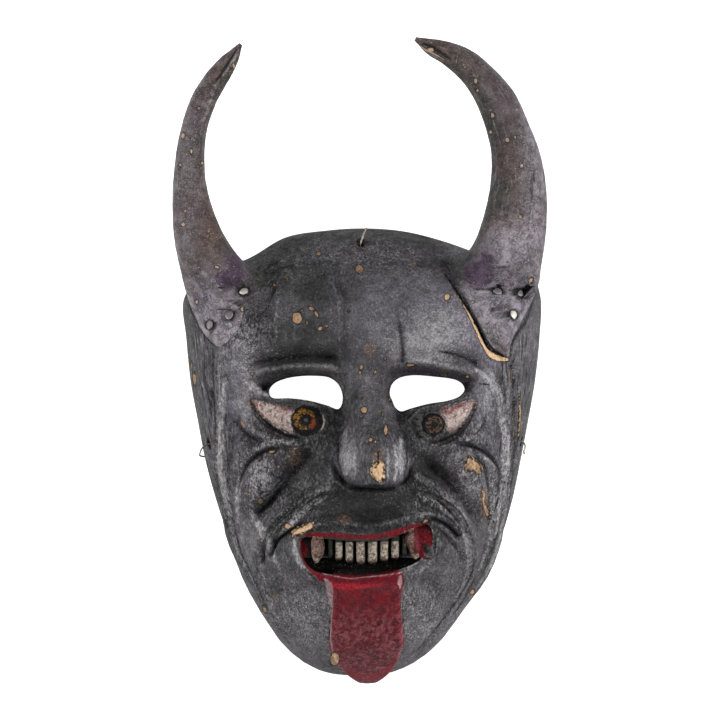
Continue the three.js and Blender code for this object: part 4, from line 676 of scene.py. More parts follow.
def curve(points, count, closed=False):
    """Points along a centripetal Catmull-Rom line."""
    p = np.asarray(points, float)
    n = len(p)
    spans = n if closed else n - 1
    out = []
    for s in np.linspace(0, spans, count, endpoint=not closed):
        k = min(int(s), spans - 1)
        t = s - k
        b, c = p[k % n], p[(k + 1) % n]
        a = p[(k - 1) % n] if closed or k > 0 else 2 * b - c
        d = p[(k + 2) % n] if closed or k + 2 < n else 2 * c - b
        d0, d1, d2 = (max(np.linalg.norm(w) ** 0.5, 1e-6) for w in (b - a, c - b, d - c))
        m1 = ((b - a) / d0 - (c - a) / (d0 + d1) + (c - b) / d1) * d1
        m2 = ((c - b) / d1 - (d - b) / (d1 + d2) + (d - c) / d2) * d1
        out.append((2 * t**3 - 3 * t**2 + 1) * b + (t**3 - 2 * t**2 + t) * m1
                   + (-2 * t**3 + 3 * t**2) * c + (t**3 - t**2) * m2)
    return np.array(out)


def measure(line, x, y):
    """How far points are from a line, and how far along it from 0 to 1."""
    off = np.full(x.shape, 1e9)
    at = np.zeros(x.shape)
    for k in range(len(line) - 1):
        (ax, ay), (dx, dy) = line[k], line[k + 1] - line[k]
        t = np.clip(((x - ax) * dx + (y - ay) * dy) / (dx * dx + dy * dy + 1e-12), 0, 1)
        away = np.hypot(x - ax - dx * t, y - ay - dy * t)
        near = away < off
        off = np.where(near, away, off)
        at = np.where(near, (k + t) / (len(line) - 1), at)
    return off, at


def inside(line, x, y):
    odd = np.zeros(x.shape, bool)
    a = line[-1]
    for b in line:
        crossing = (b[1] > y) != (a[1] > y)
        odd ^= crossing & (x < (a[0] - b[0]) * (y - b[1]) / (a[1] - b[1] + 1e-12) + b[0])
        a = b
    return odd


def close_to(line, reach, x, y):
    """Which places lie in the line's own box, made wider by reach."""
    low, high = line.min(0) - reach, line.max(0) + reach
    return (x > low[0]) & (x < high[0]) & (y > low[1]) & (y < high[1])


def depth_inside(line, x, y, reach=12.0):
    """Distance to a closed outline, above 0 inside, limited to reach."""
    out, near = np.full(x.shape, -reach), close_to(line, reach, x, y)
    off, _ = measure(np.vstack([line, line[:1]]), x[near], y[near])
    out[near] = np.clip(np.where(inside(line, x[near], y[near]), off, -off), -reach, reach)
    return out


def ripple(x, y, z, size):
    """An uneven value from -1 to 1 that wanders over lengths of about size."""
    out = 0
    for k in range(7):
        turn = 2.4 * k + 0.7
        tilt = 0.9 * math.sin(1.7 * k)
        way = (math.cos(turn), math.sin(turn), tilt)
        wave = 2 * math.pi / (size * (0.75 + 0.13 * k))
        bend = 0.9 * np.sin(0.37 * wave * (x * way[1] - y * way[0]) + 1.3 * k)
        out = out + np.sin(wave * (x * way[0] + y * way[1] + z * way[2]) + bend + 4.1 * k)
    return out / 7


# ---------------------------------------------------------------- the carved form
rim_points = curve(RIM_OUTLINE, 960, True)
rim_turn = np.arctan2(rim_points[:, 1], rim_points[:, 0])
rim_order = np.argsort(rim_turn)
rim_turn, rim_reach = rim_turn[rim_order], np.hypot(*rim_points.T)[rim_order]
mouth_line = curve(MOUTH, 120, True)
slot_lines = {"left": curve(LEFT_SLOT, 110, True), "right": curve(RIGHT_SLOT, 110, True)}
cut_lines = [(curve(path, 6 * len(path)), *rest) for path, *rest in LINES.values()]
chip_lines = [curve(shape, 40, True) for shape in CHIP_SHAPES]
crack_lines = [curve(path, 24) for path in CRACKS]
eye_lines = [curve(path, 90, True) for path in EYES.values()]
white_lines = [curve(path, 90, True) for path in WHITES]


def reach_towards(x, y):
    return np.interp(np.arctan2(y, x), rim_turn, rim_reach, period=2 * math.pi)


def share_out(x, y):
    return np.hypot(x, y) / reach_towards(x, y)


def dome_height(share, depth=DOME_DEPTH):
    return depth * (1 - np.minimum(1, share) ** DOME_FRONT_POWER) ** (1 / DOME_SIDE_POWER)


def dome_normal(x, y, z):
    step = 0.05
    lean = DOME_FRONT_POWER * share_out(x, y) ** (DOME_FRONT_POWER - 1) / (2 * step)
    up = (DOME_SIDE_POWER / DOME_DEPTH) * np.clip(z / DOME_DEPTH, 0, 1) ** (DOME_SIDE_POWER - 1)
    way = np.stack([lean * (share_out(x + step, y) - share_out(x - step, y)),
                    lean * (share_out(x, y + step) - share_out(x, y - step)), up], -1)
    return way / np.linalg.norm(way, axis=-1, keepdims=True)


def bump(at, size, turn, x, y):
    """Square of the distance from an oval's middle, 1 on its edge."""
    c, s = math.cos(math.radians(turn)), math.sin(math.radians(turn))
    dx, dy = x - at[0], y - at[1]
    return ((c * dx + s * dy) / size[0]) ** 2 + ((c * dy - s * dx) / size[1]) ** 2


def nose_rise(x, y):
    off = np.abs(x - along(NOSE["up"], NOSE["middle"], y))
    foot, crest = along(NOSE["up"], NOSE["foot"], y), along(NOSE["up"], NOSE["crest"], y)
    slope = np.clip((foot - off) / (foot - crest), 0, 1)
    height = along(NOSE["up"], NOSE["rise"], y) * (0.62 * slope + 0.38 * smooth(0, 1, slope))
    for at, size, rise in NOSE_WINGS:
        height = height + rise * np.exp(-bump(at, size, 0, x, y) ** 1.4)
    aside = (x - NOSE_BASE["middle"]) / NOSE_BASE["half"]
    base = NOSE_BASE["up"] + NOSE_BASE["corner"] * aside ** 4
    return height * smooth(base - NOSE_BASE["cut"], base, y) * (y < NOSE["up"][-1])


def frown_band(x, y):
    f = FROWN_BAND
    across = smooth(f["left"] - f["edge"], f["left"] + f["edge"], x)
    across = across * smooth(f["right"] + f["edge"], f["right"] - f["edge"], x)
    return f["rise"] * across * smooth(f["top"], f["top"] - 28, y) * smooth(f["bottom"] - 16,
                                                                          f["bottom"], y)


def lip_roll(x, y):
    depth = depth_inside(mouth_line, x, y, 20)
    roll = LIP_ROLL["rise"] * np.exp(-((-depth - LIP_ROLL["out"]) / LIP_ROLL["width"]) ** 2)
    return np.where(depth > 0, -LIP_ROLL["dip"] * smooth(0, 3.2, depth), roll)


def stroke(rows, x, y, reach=7.0):
    """How far inside a painted stroke a place is, in mm, below 0 outside."""
    rows = np.asarray(rows, float)
    line = curve(rows[:, :2], 8 * len(rows))
    out, near = np.full(x.shape, -reach), close_to(line, reach, x, y)
    off, at = measure(line, x[near], y[near])
    out[near] = np.interp(at, np.linspace(0, 1, len(rows)), rows[:, 2]) - off
    return np.maximum(out, -reach)


def strokes(lines, x, y):
    return np.maximum.reduce([stroke(rows, x, y) for rows in lines])


def ovals(rows, x, y):
    """How far inside any of some ovals a place is, in mm, below 0 outside."""
    depth = np.full(x.shape, FAR_OUT)
    for at, size, turn in rows:
        depth = np.maximum(depth, (1 - np.sqrt(bump(at, size, turn, x, y))) * min(size))
    return depth


def chip_depth(x, y):
    """How far inside a bare chip a place is, in mm, below 0 outside."""
    shapes = [depth_inside(line, x, y, CHIP_REACH) for line in chip_lines]
    return np.maximum.reduce([strokes(BARE_LINES, x, y), ovals(CHIPS, x, y), *shapes])


def crack_depth(x, y):
    depth = np.full(x.shape, FAR_OUT)
    for line in crack_lines:
        near = (np.abs(x - line[:, 0].mean()) < 20) & (np.abs(y - line[:, 1].mean()) < 20)
        off, at = measure(line, x[near], y[near])
        depth[near] = np.maximum(depth[near], 0.45 * np.sin(math.pi * np.clip(at, 0.02, 1)) - off)
    return depth


def along_line(line, reach, first, last, x, y):
    """Which places are near a tool's line, how far off it, and how strong it still is there."""
    near = close_to(line, reach, x, y)
    off, at = measure(line, x[near], y[near])
    return near, off, smooth(0, first, at) * smooth(1, 1 - last, at)


def line_marks(x, y):
    """How far into the painted shade of a cut, and the rubbed crest of a ridge, a place is."""
    cut, crest = np.full(x.shape, FAR_OUT), np.full(x.shape, FAR_OUT)
    for line, rise, width, _, first, last in cut_lines:
        near, off, ends = along_line(line, 4, first, last, x, y)
        half = 0.45 * width * ends * min(1, abs(rise) / 2.4) - 0.2
        if rise < 0 and width < 2.2:
            cut[near] = np.maximum(cut[near], half - off)
        elif rise > 0:
            crest[near] = np.maximum(crest[near], half - off)
    return cut, crest


def carving(x, y):
    height = nose_rise(x, y) + frown_band(x, y) + lip_roll(x, y)
    for at, size, rise, turn in SWELLS.values():
        height = height + rise * np.exp(-bump(at, size, turn, x, y))
    for line, rise, width, power, first, last in cut_lines:
        near, off, ends = along_line(line, 3.2 * width, first, last, x, y)
        height[near] += rise * ends * np.exp(-(off / width) ** power)
    height -= 0.35 * smooth(-0.15, 0.35, chip_depth(x, y))
    height -= 0.5 * smooth(-0.3, 0.3, crack_depth(x, y))
    return height


def face_points(x, y, z, extra=0.0):
    """The carved front over points of the dome."""
    lean = smooth(TURN_FROM, TURN_TO, share_out(x, y))
    normal = dome_normal(x, y, z)
    way = normal * np.stack([lean, lean, np.ones_like(lean)], -1)
    way /= np.linalg.norm(way, axis=-1, keepdims=True)
    marks = TOOL_MARKS * (ripple(x, y, z, 9) + 0.6 * ripple(y, x, z, 4.2))
    rise = (carving(x, y) + marks) * smooth(0, RELIEF_FADE, z) - 0.15
    return np.stack([x, y, z], -1) + way * rise[..., None] + normal * extra


def dome_profile(depth, reach):
    """The dome's profile, stepped evenly along its own length."""
    share = np.sin(0.5 * math.pi * np.arange(601) / 600)
    height = dome_height(share, depth)
    height[-1] = 0
    run = np.concatenate([[0], np.cumsum(np.hypot(np.diff(share) * reach,
                                                  SIDE_SHARE * np.diff(height)))])
    return lambda s: (np.interp(s * run[-1], run, share), np.interp(s * run[-1], run, height))


def grid_lines(count, bands):
    """Lines from -1 to 1, closer together where the carving is fine."""
    middles = -1 + (np.arange(800) + 0.5) / 400
    density = 1 + sum(gain * np.exp(-((middles - at) / wide) ** 2) for at, wide, gain in bands)
    total = np.concatenate([[0], np.cumsum(density)])
    return np.interp(np.linspace(0, total[-1], count + 1), total, np.linspace(-1, 1, 801))


def disc_sheet(across, along_):
    """Shares out and turns of a square grid bent onto a disc, with its faces and its edge loop."""
    i, j = np.meshgrid(across, along_)
    u, v = i * np.sqrt(1 - j * j / 2), j * np.sqrt(1 - i * i / 2)
    high, wide = i.shape
    k = (np.arange(high - 1)[:, None] * wide + np.arange(wide - 1)[None, :]).ravel()
    faces = np.stack([k, k + 1, k + 1 + wide, k + wide], -1)
    index = np.arange(high * wide).reshape(high, wide)
    edge = np.concatenate([index[0, :-1], index[:-1, -1], index[-1, :0:-1], index[:0:-1, 0]])
    return np.minimum(1, np.hypot(u, v)).ravel(), np.arctan2(v, u).ravel(), faces, edge


def outer_sheet(extra=0.0, sink=0.0):
    across, along_ = grid_lines(GRID_ACROSS, BANDS_ACROSS), grid_lines(GRID_ALONG, BANDS_ALONG)
    share, turn, faces, edge = disc_sheet(across, along_)
    share, height = dome_profile(DOME_DEPTH, OUTER_REACH)(share)
    ux, uy = np.cos(turn), np.sin(turn)
    reach = reach_towards(ux, uy)
    x, y = ux * share * reach, uy * share * reach
    inner = share < 0.9999
    points = np.stack([ux * (reach + extra - 0.1), uy * (reach + extra - 0.1),
                       np.full(x.shape, -sink)], -1)
    points[inner] = face_points(x[inner], y[inner], height[inner], extra)
    return points, faces, edge


def inner_sheet():
    across = np.linspace(-1, 1, INNER_ACROSS + 1)
    along_ = np.linspace(-1, 1, INNER_ALONG + 1)
    share, turn, faces, edge = disc_sheet(across, along_)
    edge_of = share > 0.9999
    share, height = dome_profile(DOME_DEPTH - WALL_FRONT, INNER_REACH)(share)
    ux, uy = np.cos(turn), np.sin(turn)
    reach = (reach_towards(ux, uy) - WALL_SIDE) * share
    x, y = ux * reach, uy * reach
    backing = MOUTH_BACKING[2] * np.exp(-bump(MOUTH_BACKING[0], MOUTH_BACKING[1], 0, x, y))
    gouge = 0.55 * (ripple(2.2 * x, 0.7 * y, height, 14) - 0.5) * smooth(0, 12, height)
    height = height - backing * smooth(0, 20, height) + gouge
    return np.stack([x, y, np.where(edge_of, 0, height)], -1), faces, edge


# ---------------------------------------------------------------- meshes
def place(points):
    return (np.asarray(points) + FACE_ORIGIN) * MM


def new_object(name, points, faces):
    mesh = bpy.data.meshes.new(name)
    mesh.from_pydata([tuple(p) for p in points], [], [tuple(int(i) for i in f) for f in faces])
    mesh.validate()
    mesh.update()
    made = bpy.data.objects.new(name, mesh)
    bpy.context.collection.objects.link(made)
    return made


def loft(rings):
    """Points and faces of a tube of rings, closed by a fan at both ends."""
    rings = np.asarray(rings, float)
    steps, sides, _ = rings.shape
    points = rings.reshape(-1, 3)
    a = (np.arange(steps - 1)[:, None] * sides + np.arange(sides)[None, :]).ravel()
    b = (np.arange(steps - 1)[:, None] * sides + (np.arange(sides)[None, :] + 1) % sides).ravel()
    faces = [tuple(f) for f in np.stack([a, b, b + sides, a + sides], -1)]
    points = np.vstack([points, rings[0].mean(0), rings[-1].mean(0)])
    low, high = len(points) - 2, len(points) - 1
    for k in range(sides):
        after = (k + 1) % sides
        faces.append((after, k, low))
        faces.append(((steps - 1) * sides + k, (steps - 1) * sides + after, high))
    return points, faces


def turned_out(points, faces):
    """The same faces, turned over if they enclose a negative volume."""
    volume = 0.0
    p = np.asarray(points)
    for f in faces:
        for k in range(1, len(f) - 1):
            volume += np.dot(p[f[0]], np.cross(p[f[k]], p[f[k + 1]]))
    return faces if volume > 0 else [tuple(reversed(f)) for f in faces]


def solid(name, rings):
    points, faces = loft(rings)
    return new_object(name, place(points), turned_out(points, faces))


def prism(name, outline, low, high):
    return solid(name, [np.column_stack([outline, np.full(len(outline), float(z))])
                        for z in (low, high)])


def combine(target, others, operation):
    """Joins or cuts with other closed pieces, which are used up."""
    for other in others:
        cut = target.modifiers.new("cut", "BOOLEAN")
        cut.solver = "MANIFOLD"
        cut.operation = operation
        cut.object = other
        graph = bpy.context.evaluated_depsgraph_get()
        made = bpy.data.meshes.new_from_object(target.evaluated_get(graph))
        if not made.polygons:
            raise RuntimeError(f"cutting {target.name} with {other.name} left nothing")
        old = target.data
        target.modifiers.clear()
        target.data = made
        bpy.data.meshes.remove(old)
        spent = other.data
        bpy.data.objects.remove(other)
        bpy.data.meshes.remove(spent)
    return target


def face_frame(mesh):
    """The mesh's points back in the face frame, in mm."""
    flat = np.empty(3 * len(mesh.vertices))
    mesh.vertices.foreach_get("co", flat)
    return flat.reshape(-1, 3) / MM - FACE_ORIGIN


def store(mesh, name, values):
    made = mesh.attributes.new(name, "FLOAT", "POINT")
    made.data.foreach_set("value", np.asarray(values, np.float32))


def curvature(mesh, rounds=1):
    """How convex each point is, from the edges that meet there, in 1/mm."""
    count = len(mesh.vertices)
    co = np.empty(3 * count)
    mesh.vertices.foreach_get("co", co)
    co = co.reshape(-1, 3) / MM
    normal = np.empty(3 * count)
    mesh.vertex_normals.foreach_get("vector", normal)
    normal = normal.reshape(-1, 3)
    ends = np.empty(2 * len(mesh.edges), int)
    mesh.edges.foreach_get("vertices", ends)
    a, b = ends.reshape(-1, 2).T
    way = co[b] - co[a]
    long2 = np.maximum((way ** 2).sum(1), 0.05)
    bend = ((normal[b] - normal[a]) * way).sum(1) / long2
    total, weight = np.zeros(count), np.zeros(count)
    for end in (a, b):
        np.add.at(total, end, bend)
        np.add.at(weight, end, 1)
    value = total / np.maximum(weight, 1)
    for _ in range(rounds):
        total = value.copy()
        weight = np.ones(count)
        np.add.at(total, a, value[b])
        np.add.at(total, b, value[a])
        np.add.at(weight, a, 1)
        np.add.at(weight, b, 1)
        value = total / weight
    return np.clip(value, -1.5, 1.5)


def finish_mesh(piece, angle, material):
    piece.data.polygons.foreach_set("use_smooth", [True] * len(piece.data.polygons))
    piece.data.set_sharp_from_angle(angle=math.radians(angle))
    piece.data.materials.clear()
    piece.data.materials.append(material)


def ride(piece, node):
    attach(piece, "root")
    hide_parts(node)


def rounded_tooth(left, right, foot):
    """A tooth standing out of the gum, with softened corners and a slightly uneven front."""
    middle, half = (left + right) / 2, (right - left - TOOTH_GAP) / 2
    rings = []
    for t in np.linspace(0, 1, 20) ** 0.8:
        y = mix(TOOTH_TOP, foot, t)
        end = smooth(0.8, 1.0, t) ** 2
        slim, out = 1 - 0.04 * t - 0.3 * end, 1 - 0.25 * end
        lean = 0.35 * math.sin(3.1 * middle) * t
        front = TOOTH_FRONT - 0.006 * (middle - 1.5) ** 2 + 0.4 * math.sin(1.9 * middle)
        front += 0.3 * math.sin(5 * t + middle)
        back = GUM["back"] + 1
        section = []
        for turn in circle(28) + math.pi / 28:
            e, f = (math.copysign(abs(v) ** 0.4, v) for v in (math.cos(turn), math.sin(turn)))
            section.append((middle + lean + e * half * slim, y,
                            mix(back, back + (front - back) * out, 0.5 + 0.5 * f)))
        rings.append(section)
    return solid("tooth", rings)


def fang(rows):
    rings = []
    keys = range(len(rows))
    for t in np.linspace(0, len(rows) - 1, 30):
        x, y, half, out = (along(keys, [row[c] for row in rows], t) for c in range(4))
        rings.append([
            (x + half * math.cos(a), y + 0.15 * half * math.sin(a),
             FANG_HEIGHT - 2 + out * max(math.sin(a), -0.5) * (1 + 0.06 * math.cos(3 * a + t)))
            for a in circle(32)])
    return solid("fang", rings)


def tongue_section(t, keys):
    up, over, half = (along(keys, [row[c] for row in TONGUE], t) for c in range(3))
    thick = TONGUE_THICK * smooth(1.12, 0.72, t)
    section = [(-1, .35), (-.985, .6), (-.955, .8), (-.91, .93), (-.85, 1)]
    section += [(s, 1 + 0.02 * (1 - abs(s))) for s in np.linspace(-.7, .7, 15)]
    section += [(-s, n) for s, n in reversed(section[:5])]
    section += [(1, -1), (.5, -1), (0, -1), (-.5, -1), (-1, -1)]
    lean = np.clip((-up - 66) / 60, 0, 1)
    wave = 0.25 * math.sin(9 * t) * smooth(0.1, 0.3, t)
    return [(TONGUE_MIDDLE + s * (half - 0.1) + wave, up + (1 - n) * 0.5 * thick * lean,
             over - 0.2 - (1 - n) * 0.5 * thick * (1 - 0.55 * lean)) for s, n in section]


def tongue():
    keys = np.arange(len(TONGUE)) / (len(TONGUE) - 1)
    return solid("tongue", [tongue_section(t, keys) for t in np.linspace(0, 1, 90)])


def bar(name, start, stop, radius, sides=28):
    start, stop = Vector(start), Vector(stop)
    way = (stop - start).normalized()
    side = Vector((0, 1, 0)).cross(way)
    side = side.normalized() if side.length > 0.1 else Vector((1, 0, 0))
    other = way.cross(side)
    rings = [[centre + radius * (math.cos(a) * side + math.sin(a) * other)
              for a in circle(sides)] for centre in (start, stop)]
    return solid(name, rings)


def on_dome(at):
    x, y = np.array([at[0]], float), np.array([at[1]], float)
    z = dome_height(share_out(x, y))
    return Vector((x[0], y[0], z[0])), Vector(dome_normal(x, y, z)[0])


def wire_hole(at):
    seat, way = on_dome(at)
    return bar("hole", seat + 12 * way, seat - 26 * way, CORD_HOLE_RADIUS)


def nail_line(at, horn):
    seat, way = on_dome(at)
    return seat + Vector((0, 0, horn["proud"] - NAIL["buried"])), way


def nail_hole(at, horn):
    seat, way = nail_line(at, horn)
    end = seat - (NAIL["length"] + GAP) * way
    return bar("hole", end, seat + 0.2 * way, NAIL["shank"] + GAP, 16)


def nail_seat(at, horn):
    seat, way = nail_line(at, horn)
    return bar("seat", seat - 0.15 * way, seat + 9 * way, NAIL["head"] + GAP)


def horn_bed(extra, sink):
    """The front with its hollow filled in, which the horns are cut to fit."""
    points, faces, edge = outer_sheet(extra, sink)
    points = np.vstack([points, [0, 0, -sink]])
    middle = len(points) - 1
    closing = [(int(edge[(k + 1) % len(edge)]), int(edge[k]), middle) for k in range(len(edge))]
    return new_object("bed", place(points), [tuple(f) for f in faces] + closing)


def carved_shell():
    outer, faces, edge = outer_sheet()
    inner, inner_faces, inner_edge = inner_sheet()
    shift = len(outer)
    points = np.vstack([outer, inner])
    every = [tuple(f) for f in faces]
    every += [tuple(shift + i for i in reversed(f)) for f in inner_faces.tolist()]
    loops = []
    for loop in (edge, inner_edge + shift):
        turn = np.arctan2(points[loop, 1], points[loop, 0]) - math.atan2(*points[edge[0], [1, 0]])
        turn = (turn + 2 * math.pi + 1e-9) % (2 * math.pi)
        start = int(np.argmin(turn))
        loop, turn = np.roll(loop, -start), np.roll(turn, -start)
        loops.append((np.append(loop, loop[0]), np.append(turn, turn[0] + 2 * math.pi)))
    (out_loop, out_turn), (in_loop, in_turn) = loops
    a = b = 0
    while a + 1 < len(out_loop) or b + 1 < len(in_loop):
        if b + 1 >= len(in_loop) or (a + 1 < len(out_loop) and out_turn[a + 1] < in_turn[b + 1]):
            every.append((out_loop[a], in_loop[b], out_loop[a + 1]))
            a += 1
        else:
            every.append((out_loop[a], in_loop[b], in_loop[b + 1]))
            b += 1
    return new_object("mask", place(points), every)


def nail_bed(points, horn, side):
    """Presses points down round the nails, so that their heads show."""
    for at in NAILS[side]:
        seat, way = (np.array(v) for v in nail_line(at, horn))
        off = points - seat
        over = off @ way
        wide = np.linalg.norm(off - over[:, None] * way, axis=1)
        allowed = 0.15 + 1.1 * np.maximum(0, wide - 3.4)
        push = np.maximum(0, over - allowed) * smooth(13, 6, over) * (wide < 12)
        points = points - push[:, None] * way
    return points


def horn_rings(horn, side):
    keys = np.arange(len(horn["middle"]))
    share = np.linspace(0, 1, HORN_STEPS + 1) ** 0.9
    at = share * (len(keys) - 1)
    inner, outer = (np.stack([along(keys, [p[c] for p in horn[edge]], at) for c in (0, 1)], -1)
                    for edge in ("inner", "outer"))
    middle, thick = (along(keys, horn[key], at)[:, None] for key in ("middle", "thick"))
    laid = smooth(FOOT_STATIONS + 1.2, FOOT_STATIONS - 1, at)
    power = mix(HORN_ROUND, horn["squareness"], laid)[:, None]
    turn = circle(HORN_SIDES) + math.pi / HORN_SIDES
    bend = [np.sign(v) * np.abs(v) ** (2 / power) * HORN_SLIM
            for v in (np.cos(turn), np.sin(turn))]
    way = 0.5 + 0.5 * bend[0]
    x, y = (mix(inner[:, c, None], outer[:, c, None], way) for c in (0, 1))
    limb = middle + bend[1] * thick
    dome = dome_height(share_out(x, y))
    front = dome + carving(x, y) * smooth(0, RELIEF_FADE, dome) + 0.45
    raised = mix(front, dome + horn["proud"], np.maximum(horn["flush"], smooth(0.05, 0.6, way)))
    foot = mix(dome - FOOT_SINK, np.maximum(raised, front), 0.5 + 0.5 * bend[1])
    z = higher(limb, foot)
    wide = np.linalg.norm(outer - inner, axis=1)[:, None] / 2
    left = 1 - share[:, None]
    flats = (0.014 * wide * (np.cos(5 * turn + 2 - 1.2 * left) - 1) + 0.16 * ripple(x, y, z, 9)
             + 0.1 * ripple(y, z, x, 3.6) - 0.16) * smooth(0, 0.04, left)
    centre = np.stack([*((inner + outer) / 2).T, middle[:, 0]], -1)[:, None]
    points = np.stack([x, y, z], -1)
    away = points - centre
    away /= np.maximum(np.linalg.norm(away, axis=-1, keepdims=True), 1e-6)
    points += away * flats[..., None]
    points = nail_bed(points.reshape(-1, 3), horn, side).reshape(points.shape)
    for spot, size, turned, rise in HORN_DENTS[side]:
        points[..., 2] += rise * np.exp(-bump(spot, size, turned, x, y)) * (bend[1] > 0)
    return list(points)


# ---------------------------------------------------------------- shader building
class Tree:
    """Adds nodes to a shader tree and links them in one go."""

    def __init__(self, tree):
        self.tree = tree

    def add(self, kind, inputs=None, **settings):
        node = self.tree.nodes.new(kind)
        for key, value in settings.items():
            setattr(node, key, value)
        for key, value in (inputs or {}).items():
            self.put(node.inputs[key], value)
        return node

    def put(self, socket, value):
        if isinstance(value, bpy.types.NodeSocket):
            self.tree.links.new(value, socket)
        else:
            socket.default_value = value

    def math(self, operation, *values):
        return self.add("ShaderNodeMath", dict(enumerate(values)), operation=operation).outputs[0]

    def times(self, a, b):
        return self.math("MULTIPLY", a, b)

    def most(self, a, b):
        return self.math("MAXIMUM", a, b)

    def scaled(self, value, by, plus):
        return self.math("MULTIPLY_ADD", value, by, plus)

    def step(self, value, low, high, to_low=0.0, to_high=1.0):
        """A soft step from one value to another."""
        return self.add("ShaderNodeMapRange", {
            "Value": value, "From Min": low, "From Max": high, "To Min": to_low,
            "To Max": to_high}, interpolation_type="SMOOTHSTEP").outputs[0]

    def blend(self, share, a, b):
        node = self.add("ShaderNodeMix", data_type="RGBA")
        for index, value in ((0, share), (6, a), (7, b)):
            if index and not isinstance(value, bpy.types.NodeSocket):
                value = (*value[:3], 1.0)
            self.put(node.inputs[index], value)
        return node.outputs[2]

    def noise(self, vector, scale, detail, rough, warp=0.0):
        return self.add("ShaderNodeTexNoise", {"Vector": vector, "Scale": scale, "Detail": detail,
                                               "Roughness": rough, "Distortion": warp}).outputs[0]

    def vector_math(self, operation, *values):
        inputs = dict(enumerate(values))
        return self.add("ShaderNodeVectorMath", inputs, operation=operation).outputs

    def value(self, name):
        return self.add("ShaderNodeAttribute", attribute_name=name).outputs["Fac"]

    def group(self, name, **inputs):
        named = {key.replace("_", " "): value for key, value in inputs.items()}
        return self.add("ShaderNodeGroup", named, node_tree=bpy.data.node_groups[name]).outputs


class Coat(Tree):
    """The tree of a new material, with the colour that has been laid on so far."""

    def __init__(self, name, colours):
        self.made = bpy.data.materials.new(name)
        self.made.use_nodes = True
        self.made.node_tree.nodes.clear()
        super().__init__(self.made.node_tree)
        self.colours, self.colour = colours, None
        self.vector = self.add("ShaderNodeTexCoord").outputs["Object"]

    def tone(self, given):
        """One of the settings' colours by its name. A socket or a colour stays as it is."""
        return tuple(getattr(self.colours, given)) if isinstance(given, str) else given

    def mixed(self, share, a, b):
        return self.blend(share, self.tone(a), self.tone(b))

    def over(self, under, mask, colour, amount=1):
        return self.mixed(mask if amount == 1 else self.times(mask, amount), under, colour)

    def cover(self, mask, colour, amount=1):
        self.colour = self.over(self.colour, mask, colour, amount)

    def field(self, scale, detail, rough, warp=0.0, stretch=None):
        vector = self.vector_math("MULTIPLY", self.vector, stretch)[0] if stretch else self.vector
        return self.noise(vector, scale, detail, rough, warp)

    def patches(self, low, high, *field, **more):
        return self.step(self.field(*field, **more), low, high)

    def paint(self, grain, mottle):
        return self.group("Aged Paint", Vector=self.vector, Grain=grain, Mottle_Scale=mottle)

    def wood(self):
        """The colour and the height of bare wood."""
        grain = self.group("Wood Grain", Vector=self.vector)
        return self.mixed(grain["Tone"], "wood_dark", "wood_pale"), grain["Height"]

    def wear(self, start, stop, scale=500.0):
        return self.group("Edge Wear", Vector=self.vector, Convex=self.value("convex"), From=start,
                          To=stop, Scale=scale)

    def ragged(self, name, rag, scale, soft):
        """A mask from a distance stored on the piece, with a torn edge."""
        return self.group("Ragged Edge", Vector=self.vector, Depth=self.value(name), Rag=rag,
                          Scale=scale, Soft=soft)["Mask"]

    def from_middle(self, middle):
        """Distance in mm from a line through the face at a given place."""
        x, y = (place([*middle, 0])[axis] for axis in (0, 1))
        moved = self.vector_math("SUBTRACT", self.vector, (x, y, 0.0))[0]
        flat = self.vector_math("MULTIPLY", moved, IRIS_SQUASH)[0]
        return self.vector_math("LENGTH", flat)["Value"]

    def close(self, roughness, height, distance, metallic=0.0, **fixed):
        bumped = self.add("ShaderNodeBump",
                          {"Height": height, "Distance": distance, "Strength": 1.0})
        shader = self.add("ShaderNodeBsdfPrincipled", {
            "Base Color": self.colour, "Roughness": roughness, "Metallic": metallic,
            "Normal": bumped.outputs[0], **fixed})
        self.add("ShaderNodeOutputMaterial", {"Surface": shader.outputs[0]})


def new_group(name, inputs, outputs):
    """A node group with float or vector inputs and float outputs, and its in and out nodes."""
    tree = bpy.data.node_groups.new(name, "ShaderNodeTree")
    for key, default in inputs.items():
        kind = "NodeSocketVector" if default is None else "NodeSocketFloat"
        socket = tree.interface.new_socket(key, in_out="INPUT", socket_type=kind)
        if default is not None:
            socket.default_value = default
    for key in outputs:
        tree.interface.new_socket(key, in_out="OUTPUT", socket_type="NodeSocketFloat")
    build = Tree(tree)
    source, sink = build.add("NodeGroupInput"), build.add("NodeGroupOutput")
    return build, source.outputs, sink.inputs


